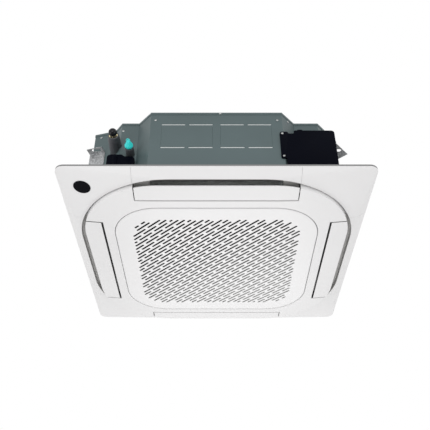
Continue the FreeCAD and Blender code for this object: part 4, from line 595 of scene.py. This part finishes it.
def soften(width, *names):
    """Rounds the edges of CAD nodes a little, as a cut in foam or a file on metal leaves them."""
    for name in names:
        weld = nodes[name].modifiers.new("weld", "WELD")
        weld.merge_threshold = width / ROUNDING_PER_WELD
        bevel = nodes[name].modifiers.new("rounding", "BEVEL")
        bevel.width = width
        bevel.segments = ROUNDING_STEPS
        bevel.limit_method = "ANGLE"
        bevel.angle_limit = math.radians(ROUNDING_DEGREES)
        bevel.miter_outer = "MITER_ARC"
        bevel.use_clamp_overlap = True
        even = nodes[name].modifiers.new("even_shading", "WEIGHTED_NORMAL")
        even.keep_sharp = True


sleeve = mottled("sleeve_foam", SLEEVE_DARK, SLEEVE_PALE, SLEEVE_SKIN)
clothe(sleeve, "liquid_sleeve")
soften(SLEEVE_ROUND, "liquid_sleeve")


def outwards(node):
    """A frame whose Z runs outwards along a pipe fitting from its inner end, and the fitting's length."""
    low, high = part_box(node)
    foot = Vector(((low.x + high.x) / 2, high.y, (low.z + high.z) / 2))
    return Matrix.Translation(foot) @ Matrix.Rotation(math.pi / 2, 4, "X"), high.y - low.y


def folded(radius, turn):
    """A radius by angle with the shallow folds of a soft tube inside it, turned by an angle."""

    def reach(angle):
        fold = math.sin(FOLDS_ONE_WAY * angle + turn) * math.sin(FOLDS_OTHER_WAY * angle - turn)
        return radius - SLEEVE_FOLD * (1 + fold) / 2

    return reach


place, length = outwards("gas_sleeve")
low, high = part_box("gas_sleeve")
thick = (high.x - low.x) / 2
lip_thick = thick * LIP_WIDTH_SHARE
lip_end = length + LIP_OUT
turns = MOUTH_FOLD_TURNS
profile = [(length * i / SLEEVE_RINGS, folded(thick, FOLD_TURN * i)) for i in range(SLEEVE_RINGS)]
profile += [(length - SLEEVE_ROUND, folded(thick, turns[0])),
            (length, folded(thick - SLEEVE_ROUND / 3, turns[1])),
            (length + LIP_OUT * LIP_SWELL_SHARE, folded(lip_thick, turns[2])),
            (length + LIP_OUT * LIP_SHOULDER_SHARE, lip_thick - SLEEVE_FOLD),
            (length + LIP_OUT * LIP_BRIM_SHARE, NUT_BORE - SLEEVE_FOLD),
            (lip_end, LIP_MOUTH + SLEEVE_FOLD), (lip_end - LIP_WALL, LIP_MOUTH),
            (lip_end - LIP_WALL, NUT_BORE), (length, NUT_BORE), (length, PIPE_BORE), (0.0, PIPE_BORE)]
bm = bmesh.new()
turned(bm, place, SLEEVE_STEPS, profile, closed=False)
gas_foam = from_bmesh("gas_foam", bm)
finished(gas_foam, sleeve, "housing", "sleeve_foam", "gas_sleeve", crease=SLEEVE_CREASE_DEGREES)

# Flare nut
# A forged brass nut on the gas pipe, its corners chamfered in a cone at both ends and turned down to a
# round collar towards the sleeve.

BRASS_DARK = (0.58, 0.50, 0.28, 1.0)
BRASS_PALE = (0.86, 0.78, 0.52, 1.0)
BRASS_SKIN = {"Smooth": 0.16, "Rough": 0.3, "Broad": 60.0, "Fine": 1500.0, "Depth": 0.00001}
NUT_STEPS = 72
NUT_HEX_SHARE = 0.6
NUT_COLLAR_SHARE = 0.8
NUT_BORE_SHARE = 0.5
NUT_CHAMFER_SHARES = ((0.0, 0.9), (0.06, 0.97), (0.12, 1.0), (0.88, 1.0), (0.94, 0.97), (1.0, 0.9))


def hexagon(corner, limit):
    """A hexagon's radius by angle, cut off where a chamfer's cone is smaller."""
    flat = corner * math.cos(math.pi / 6)

    def reach(angle):
        from_flat = (angle + math.pi / 6) % (math.pi / 3) - math.pi / 6
        return min(flat / math.cos(from_flat), limit)

    return reach


brass = mottled("brass", BRASS_DARK, BRASS_PALE, BRASS_SKIN, Metallic=1.0)
place, length = outwards("gas_nut")
low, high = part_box("gas_nut")
corner = max(high.x - low.x, high.z - low.z) / 2
hex_long = length * NUT_HEX_SHARE
collar_long = length - hex_long
profile = [(0.0, corner * NUT_BORE_SHARE), (0.0, corner * NUT_COLLAR_SHARE),
           (collar_long, corner * NUT_COLLAR_SHARE)]
profile += [(collar_long + hex_long * at, hexagon(corner, corner * reach))
            for at, reach in NUT_CHAMFER_SHARES]
profile.append((length, corner * NUT_BORE_SHARE))
bm = bmesh.new()
turned(bm, place, NUT_STEPS, profile, closed=False)
nut = from_bmesh("flare_nut", bm)
finished(nut, brass, "housing", "brass", "gas_nut")

# Ball cap
# A glossy black plastic plug pushed into the gas pipe's nut for transport, with a round head and a
# finely ribbed skirt.

GLOSS_DARK = (0.0040, 0.0040, 0.0055, 1.0)
GLOSS_PALE = (0.0080, 0.0080, 0.0100, 1.0)
GLOSS_SKIN = {"Smooth": 0.05, "Rough": 0.1, "Broad": 30.0, "Fine": 900.0, "Depth": 0.000004}
GLOSS_SPECULAR = 0.25
BALL_STEPS = 96
BALL_RINGS = 20
SKIRT_RIBS = 24
SKIRT_RIB_HEIGHT = 0.0004
SKIRT_RIB_ENDS = (0.1, 0.9)
SKIRT_SHARE = 0.8

gloss_black = mottled("gloss_black", GLOSS_DARK, GLOSS_PALE, GLOSS_SKIN, Specular_IOR_Level=GLOSS_SPECULAR)
place, length = outwards("gas_cap")
low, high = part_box("gas_cap")
ball = (high.x - low.x) / 2
skirt = ball * SKIRT_SHARE
centre = length - ball
meet = -math.acos(SKIRT_SHARE)


def skirt_ribs(angle):
    """The skirt's radius by angle, with its ribs' valleys inside it."""
    return skirt - SKIRT_RIB_HEIGHT * abs(math.sin(SKIRT_RIBS * angle / 2))


profile = [(0.0, skirt - SKIRT_RIB_HEIGHT)]
ribbed_top = centre + ball * math.sin(meet)
profile += [(ribbed_top * share, skirt_ribs) for share in SKIRT_RIB_ENDS]
for i in range(BALL_RINGS):
    lift = meet + (math.pi / 2 - meet) * i / BALL_RINGS
    profile.append((centre + ball * math.sin(lift), ball * math.cos(lift)))
bm = bmesh.new()
turned(bm, place, BALL_STEPS, profile)
ball_cap = from_bmesh("ball_cap", bm)
finished(ball_cap, gloss_black, "housing", "cap_black", "gas_cap")

# Liquid cap
# A soft turquoise cap that seals the smaller pipe: a ribbed barrel that narrows to a flat tab with a
# hole to pull it off by.

TEAL_DARK = (0.028, 0.80, 0.76, 1.0)
TEAL_PALE = (0.075, 0.94, 0.90, 1.0)
TEAL_SKIN = {"Smooth": 0.28, "Rough": 0.4, "Broad": 60.0, "Fine": 900.0, "Depth": 0.00002}
TEAL_SUBSURFACE = 0.1
BARREL_STEPS = 96
BARREL_RIBS = 16
BARREL_RIB_HEIGHT = 0.0005
BARREL_SHARES = ((0.0, 0.66), (0.04, 0.78), (0.12, 0.97), (0.16, 1.0), (0.26, 1.0), (0.32, 0.93),
                 (0.44, 0.74), (0.58, 0.56), (0.7, 0.46), (0.76, 0.3))
PULL_HALF = 0.0064
PULL_THICK = 0.0018
PULL_HOLE = 0.0039
PULL_FOOT_SHARE = 0.5
PULL_STEPS = 32

teal_plastic = mottled("teal_plastic", TEAL_DARK, TEAL_PALE, TEAL_SKIN,
                       Subsurface_Weight=TEAL_SUBSURFACE)
place, length = outwards("liquid_cap")
low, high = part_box("liquid_cap")
barrel = (high.x - low.x) / 2


def ribbed(radius):
    """A radius by angle with shallow grip ribs inside it."""
    return lambda angle: radius - BARREL_RIB_HEIGHT * (0.5 + 0.5 * math.cos(BARREL_RIBS * angle))


bm = bmesh.new()
turned(bm, place, BARREL_STEPS, [(length * at, ribbed(barrel * reach)) for at, reach in BARREL_SHARES])

outlines = []
foot = length * PULL_FOOT_SHARE
middle = length - PULL_HALF
for side in (-PULL_THICK / 2, PULL_THICK / 2):
    outer, inner = [], []
    for i in range(PULL_STEPS):
        angle = 2 * math.pi * i / PULL_STEPS
        across, along = math.cos(angle), math.sin(angle)
        if along < 0:
            # The lower half of the tab is squared off and runs down into the barrel.
            grow = 1 / max(abs(across), abs(along))
            outer.append((PULL_HALF * across * grow, side, middle + (middle - foot) * along * grow))
        else:
            outer.append((PULL_HALF * across, side, middle + PULL_HALF * along))
        inner.append((PULL_HOLE * across, side, middle + PULL_HOLE * along))
    outlines.append([[bm.verts.new(place @ Vector(point)) for point in points] for points in (outer, inner)])
for outer, inner in outlines:
    band(bm, outer, inner)
band(bm, outlines[0][0], outlines[1][0])
band(bm, outlines[0][1], outlines[1][1])
liquid_cap = from_bmesh("pull_cap", bm)
finished(liquid_cap, teal_plastic, "housing", "cap_teal", "liquid_cap")

# Service cover
# A shallow black cover over the opening under the pipes, moulded with an upright half-round rib and
# rounded corners. Two screws hold it to the piping sheet.

TRAY_EDGE = 0.0016
TRAY_CORNER = 0.009
TRAY_FOOT_CORNER = 0.003
TRAY_CREASE_DEGREES = 50.0
DROP_START_SHARE = 0.52
DROP_STOP_SHARE = 0.64
DROP_SHARE = 0.07
RIB_PLACE_SHARE = 0.29
RIB_RADIUS = 0.0115
RIB_OUT = 0.004
RIB_STEPS = 32
RIB_DOME_SHARES = ((0.0, 1.0), (0.3, 0.95), (0.6, 0.8), (0.85, 0.53), (0.97, 0.24))

low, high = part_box("service_cover")
wide = high.x - low.x
tall = high.z - low.z
dropped = high.z - tall * DROP_SHARE
bm = bmesh.new()
rib = Matrix.Translation((low.x + wide * RIB_PLACE_SHARE, low.y + RIB_RADIUS - RIB_OUT, low.z))
profile = [(0.0, RIB_RADIUS), (tall - RIB_RADIUS, RIB_RADIUS)]
profile += [(tall - RIB_RADIUS + RIB_RADIUS * at, RIB_RADIUS * reach) for at, reach in RIB_DOME_SHARES]
turned(bm, rib, RIB_STEPS, profile)
upright_plate(bm, rounded([
    (low.x, low.z, TRAY_FOOT_CORNER), (low.x, high.z, TRAY_CORNER),
    (low.x + wide * DROP_START_SHARE, high.z, TRAY_CORNER),
    (low.x + wide * DROP_STOP_SHARE, dropped, TRAY_CORNER),
    (high.x, dropped, TRAY_CORNER), (high.x, low.z, TRAY_FOOT_CORNER),
]), low.y, high.y, TRAY_EDGE)
tray = from_bmesh("service_tray", bm)
finished(tray, black_plastic, "housing", "black_plastic", "service_cover", crease=TRAY_CREASE_DEGREES)

# Hanger brackets
# Four brackets folded from thick galvanised sheet, each with a slot for the hanging bolt. They are
# screwed to the casing's corners, and their edges are deburred.

BRACKETS = ("hanger_front_left", "hanger_front_right", "hanger_rear_left", "hanger_rear_right")
BRACKET_ROUND = 0.0009

clothe(galvanised, *BRACKETS)
soften(BRACKET_ROUND, *BRACKETS)

# Screws
# Zinc-plated self-tapping screws with a domed head and a cross recess, driven through the sheets. The
# panel's four are of the same kind with a longer shank.

HEAD_RADIUS = 0.0039
HEAD_HEIGHT = 0.0024
HEAD_SHARES = ((0.0, 1.0), (0.35, 1.0), (0.62, 0.93), (0.82, 0.8), (0.97, 0.6))
RECESS_ARM = 0.0021
RECESS_HALF = 0.00055
RECESS_DEPTH = 0.0014
RECESS_FOOT_SHARE = 0.7
HEAD_STEPS = 24
SHANK_SHARE = 0.8
PLACE_DIGITS = 6
WAY_DIGITS = 2


def solids_of(name):
    """The separate solids of a CAD node, each as its faces' areas and normals, and its points."""
    mesh = nodes[name].data
    home = {}
    ids = [home.setdefault(tuple(round(c, PLACE_DIGITS) for c in v.co), len(home)) for v in mesh.vertices]
    parent = list(range(len(home)))

    def root(i):
        while parent[i] != i:
            parent[i] = parent[parent[i]]
            i = parent[i]
        return i

    for face in mesh.polygons:
        first = root(ids[face.vertices[0]])
        for v in face.vertices[1:]:
            parent[root(ids[v])] = first
    groups = {}
    for face in mesh.polygons:
        groups.setdefault(root(ids[face.vertices[0]]), []).append(face)
    found = []
    for faces in groups.values():
        corners = {v for face in faces for v in face.vertices}
        found.append(([(face.area, face.normal.copy()) for face in faces],
                      [mesh.vertices[v].co.copy() for v in corners]))
    return found


def screw_seats(name):
    """For each screw of a CAD node, the middle under its head and its outward direction."""
    seats = []
    for faces, points in solids_of(name):
        flats = {}
        for area, normal in faces:
            key = tuple(round(c, WAY_DIGITS) for c in normal)
            flats[key] = flats.get(key, 0.0) + area
        out = Vector(max(flats, key=flats.get)).normalized()
        side = out.orthogonal().normalized()
        middle = Vector()
        for axis in (side, out.cross(side)):
            reach = [p.dot(axis) for p in points]
            middle += axis * (min(reach) + max(reach)) / 2
        off_axis = [(p - middle - out * p.dot(out)).length for p in points]
        wide = [p.dot(out) for p, r in zip(points, off_axis) if r > SHANK_SHARE * HEAD_RADIUS]
        slim = [p.dot(out) for p, r in zip(points, off_axis) if r <= SHANK_SHARE * HEAD_RADIUS]
        if sum(wide) / len(wide) < sum(slim) / len(slim):
            out = -out
            wide = [-reach for reach in wide]
        seats.append((middle + out * min(wide), out))
    return seats


def upright_on(point, out):
    """A frame at a point whose Z runs outwards."""
    return Matrix.Translation(point) @ out.to_track_quat("Z", "Y").to_matrix().to_4x4()


def add_screw(bm, seat, out):
    """A domed head whose cross recess is sunk from a twelve-point outline."""
    at = upright_on(seat, out)
    rings = [ring(bm, at, HEAD_STEPS, HEAD_HEIGHT * height, HEAD_RADIUS * reach)
             for height, reach in HEAD_SHARES]
    for low, high in zip(rings, rings[1:]):
        band(bm, low, high)
    arm, half = RECESS_ARM, RECESS_HALF
    outline = []
    for quarter in range(4):
        turn = Matrix.Rotation(quarter * math.pi / 2, 4, "Z")
        outline += [turn @ Vector(p) for p in ((arm, half, 0), (half, half, 0), (half, arm, 0))]
    lift = Vector((0, 0, HEAD_HEIGHT))
    sink = Vector((0, 0, HEAD_HEIGHT - RECESS_DEPTH))
    top = [bm.verts.new(at @ (p + lift)) for p in outline]
    foot = [bm.verts.new(at @ (p * RECESS_FOOT_SHARE + sink)) for p in outline]
    rim = rings[-1]
    for i in range(len(top)):
        a, b, c = (rim[(2 * i + k) % HEAD_STEPS] for k in (1, 2, 3))
        after = (i + 1) % len(top)
        bm.faces.new((a, b, top[i]))
        bm.faces.new((b, c, top[after], top[i]))
        bm.faces.new((top[i], top[after], foot[after], foot[i]))
    bm.faces.new(foot)


bm = bmesh.new()
for node in ("case_screws", "panel_screws"):
    for seat, out in screw_seats(node):
        add_screw(bm, seat, out)
screws = from_bmesh("screws", bm)
finished(screws, plated, "housing", "steel", "case_screws", "panel_screws")

# Decoration panel
# White satin mouldings clipped together: the frame, four corner covers over the hanging bolts, the centre
# ring and the black receiver window. Painted shade greys the air slots beside the vanes and blackens the
# vanes' bays, and a band of painted shade greys the rim's top against the ceiling.

WHITE_DARK = (0.765, 0.758, 0.760, 1.0)
WHITE_PALE = (0.797, 0.791, 0.793, 1.0)
WHITE_SKIN = {"Smooth": 0.34, "Rough": 0.42, "Broad": 4.0, "Fine": 1600.0, "Depth": 0.00002}
WINDOW_SKIN = {"Smooth": 0.12, "Rough": 0.16, "Broad": 30.0, "Fine": 900.0, "Depth": 0.000002}
WINDOW_SPECULAR = 0.025
# Painted shade: a grey for the air slots beside the vanes.
AIR_SLOT_SHADE = (0.60, 0.592, 0.578, 1.0)
SHADE_ZONE_ROUGH = 0.9
# Painted shade: near black for the vanes' bays in the centre ring.
BAY_SHADE = (0.022, 0.022, 0.022, 1.0)
# Painted shade: a grey band for the top of the rim, from the level below upwards.
RIM_SHADE = (0.20, 0.20, 0.20, 1.0)
RIM_SHADE_LEVEL = 0.0454
AIR_GAP = 0.018
LIP_RADIUS = 0.302
LIP_MARGIN = 0.0002
AIR_SLOT_SHADE_WIDTH = 0.05
AIR_SLOT_SHADE_HALF = 0.259
BAY_INNER = 0.3575
BAY_HALF = 0.2493
BAY_LEVEL = 0.0122
COVERS = ("corner_cover_front_left", "corner_cover_front_right", "corner_cover_rear_left",
          "corner_cover_rear_right")

panel_white = mottled("panel_white", WHITE_DARK, WHITE_PALE, WHITE_SKIN)
clothe(panel_white, *COVERS)

# Marks what lies beside a vane: further out than Near, within Half along it, above Low, and inside the
# lip's outline, a square with corners of radius Round that are centred Core out of the middle.
slot_zone, entry, leave = new_group(
    "slot_zone", {"Near": 0.4, "Half": 0.26, "Low": 0.0, "Core": 0.14, "Round": 0.3},
    {"Mask": "NodeSocketFloat"})
place = axes(slot_zone)
sides = [combine(slot_zone, "ABSOLUTE", place[axis]) for axis in ("X", "Y")]
marks = []
for out, along in (sides, sides[::-1]):
    mark = combine(slot_zone, "GREATER_THAN", out, entry["Near"])
    near_by = combine(slot_zone, "LESS_THAN", along, entry["Half"])
    marks.append(combine(slot_zone, "MULTIPLY", mark, near_by))
beside = combine(slot_zone, "MAXIMUM", *marks)
past = [combine(slot_zone, "SUBTRACT", side, entry["Core"]) for side in sides]
squares = [combine(slot_zone, "POWER", combine(slot_zone, "MAXIMUM", reach), 2.0) for reach in past]
from_core = combine(slot_zone, "SQRT", combine(slot_zone, "ADD", *squares))
inside = combine(slot_zone, "LESS_THAN", from_core, entry["Round"])
above = combine(slot_zone, "GREATER_THAN", place["Z"], entry["Low"])
mask = combine(slot_zone, "MULTIPLY", combine(slot_zone, "MULTIPLY", beside, above), inside)
slot_zone.links.new(mask, leave["Mask"])


def bare_white(name):
    """A material that isn't coated yet, its tree, and white plastic's skin and tone in it."""
    made, tree = new_material(name)
    skin = placed(tree, mottle, **WHITE_SKIN)
    return made, tree, skin, two_tone(tree, skin["Patches"], WHITE_DARK, WHITE_PALE)


def coat_over(tree, skin, tone, mask, rough):
    """Coats white plastic, at least as rough as a given roughness where a mask says so."""
    covered = combine(tree, "MULTIPLY", mask, rough)
    coat(tree, Base_Color=tone, Roughness=combine(tree, "MAXIMUM", skin["Roughness"], covered),
         Normal=skin["Normal"])


def white_with_shade(name, shade_tone, rim_shade_level, **zone):
    """White plastic with painted shade beside the vanes and a band of painted shade on top of its rim."""
    made, tree, skin, white = bare_white(name)
    mask = placed(tree, slot_zone, **zone)["Mask"]
    # Above the rim's level the white is coloured grey: painted shade.
    rim = combine(tree, "GREATER_THAN", axes(tree)["Z"], rim_shade_level)
    tone = two_tone(tree, rim, two_tone(tree, mask, white, shade_tone), RIM_SHADE)
    coat_over(tree, skin, tone, mask, SHADE_ZONE_ROUGH)
    return made


low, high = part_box("panel_frame")
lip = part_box("vane_right")[1].x + AIR_GAP
outline = {"Core": lip - LIP_RADIUS, "Round": LIP_RADIUS + LIP_MARGIN}
clothe(white_with_shade("frame_white", AIR_SLOT_SHADE, RIM_SHADE_LEVEL, Near=lip - AIR_SLOT_SHADE_WIDTH, Half=AIR_SLOT_SHADE_HALF, Low=0.0, **outline),
       "panel_frame")
# The ring's bays beside the vanes are coloured near black: painted shade.
clothe(white_with_shade("ring_white", BAY_SHADE, high.z, Near=BAY_INNER, Half=BAY_HALF, Low=BAY_LEVEL, **outline),
       "centre_ring")
tinted = mottled("tinted_window", GLOSS_DARK, GLOSS_PALE, WINDOW_SKIN, Specular_IOR_Level=WINDOW_SPECULAR)
clothe(tinted, "receiver_window")

# Vanes
# Four white moulded blades that close the air slots, each on two end pins in bushes and driven by a small
# stepper motor. The two side ones are coloured near black along their inner edge and on their ends: painted
# shade for the gaps beside them.

# Painted shade along the side vanes' inner edges and on their ends.
VANE_EDGE_SHADE = (0.006, 0.006, 0.006, 1.0)
VANE_EDGE_SHADE_WIDTH = 0.0018
VANE_END_SHADE_FROM = 0.2453
VANE_EDGE_SHADE_ROUGH = 0.9

clothe(panel_white, "vane_front", "vane_rear")

edge_shaded, tree, skin, white = bare_white("vane_white")
place = axes(tree)
out, along = [combine(tree, "ABSOLUTE", place[axis]) for axis in ("X", "Y")]
inner_edge = combine(tree, "LESS_THAN", out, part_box("vane_right")[0].x + VANE_EDGE_SHADE_WIDTH)
ends = combine(tree, "GREATER_THAN", along, VANE_END_SHADE_FROM)
edge = combine(tree, "MAXIMUM", inner_edge, ends)
coat_over(tree, skin, two_tone(tree, edge, white, VANE_EDGE_SHADE), edge, VANE_EDGE_SHADE_ROUGH)
clothe(edge_shaded, "vane_right", "vane_left")

# Intake grille
# One white moulding with staggered slanted slots. It hangs on two hinge arms at the rear and is held shut
# by two sliding latches. Painted shade darkens its slots and its back towards the front left, and painted
# light pales them towards the rear right.

# Painted shade in the slots and on the back, turning to painted light towards the rear right.
SLOT_PAINTED_SHADE = (0.008, 0.008, 0.008, 1.0)
SLOT_PAINTED_LIGHT = (0.70, 0.70, 0.69, 1.0)
SLOT_SHADE_ROUGH = 0.85
SLOT_SHADE_LEVEL = 0.0004
BEYOND_ALL = 1.0
FIELD_BORDER = 0.052
FIELD_ROUND = 0.083
LIGHT_RAMP_WAY = (0.45, 0.89, 0.0)
LIGHT_RAMP_NEAR = -0.17
LIGHT_RAMP_FAR = 0.27

clothe(panel_white, "hinge_arms", "latch_left", "latch_right")

# Marks how far a place lies from the front left towards the rear right, where painted shade turns to painted
# light.
light_ramp, entry, leave = new_group(
    "light_ramp", {"From": LIGHT_RAMP_NEAR, "To": LIGHT_RAMP_FAR}, {"Share": "NodeSocketFloat"})
reach = add(light_ramp, "ShaderNodeVectorMath", {0: spot(light_ramp), 1: LIGHT_RAMP_WAY}, operation="DOT_PRODUCT")
share = add(light_ramp, "ShaderNodeMapRange", {
    "Value": reach.outputs["Value"], "From Min": entry["From"], "From Max": entry["To"]},
    interpolation_type="SMOOTHSTEP")
light_ramp.links.new(share.outputs["Result"], leave["Share"])

slot_shaded, tree, skin, white = bare_white("grille_white")
shade_and_tone = two_tone(tree, placed(tree, light_ramp)["Share"], SLOT_PAINTED_SHADE, SLOT_PAINTED_LIGHT)
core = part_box("intake_grille")[1].x - FIELD_BORDER - FIELD_ROUND
field = {"Low": SLOT_SHADE_LEVEL, "Core": core, "Round": FIELD_ROUND}
# Near and Half leave nothing out here, so only the level and the field's outline count.
behind = placed(tree, slot_zone, Near=-BEYOND_ALL, Half=BEYOND_ALL, **field)["Mask"]
coat_over(tree, skin, two_tone(tree, behind, white, shade_and_tone), behind, SLOT_SHADE_ROUGH)
clothe(slot_shaded, "intake_grille")

# Air filter
# A washable filter laid on the grille: a black moulded frame with ribs and a fine woven net. The net is near
# black, and paler towards the rear right, partly as lint in random clumps and partly as painted light.

NET_DARK = (0.003, 0.003, 0.003, 1.0)
NET_LINT_AND_LIGHT = (0.48, 0.48, 0.47, 1.0)
NET_SKIN = {"Smooth": 0.7, "Rough": 0.9, "Broad": 20.0, "Fine": 900.0, "Depth": 0.0001}
NET_SPECULAR = 0.1
LINT_LEAST = 0.5

net, tree = new_material("filter_net")
skin = placed(tree, mottle, **NET_SKIN)
# Paler towards the rear right by painted light, and in random clumps like lint.
clumps = combine(tree, "ADD", skin["Patches"], LINT_LEAST)
lint_and_light = combine(tree, "MULTIPLY", placed(tree, light_ramp)["Share"], clumps)
coat(tree, Base_Color=two_tone(tree, lint_and_light, NET_DARK, NET_LINT_AND_LIGHT), Roughness=skin["Roughness"],
     Normal=skin["Normal"], Specular_IOR_Level=NET_SPECULAR)
clothe(net, "air_filter")

low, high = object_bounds()
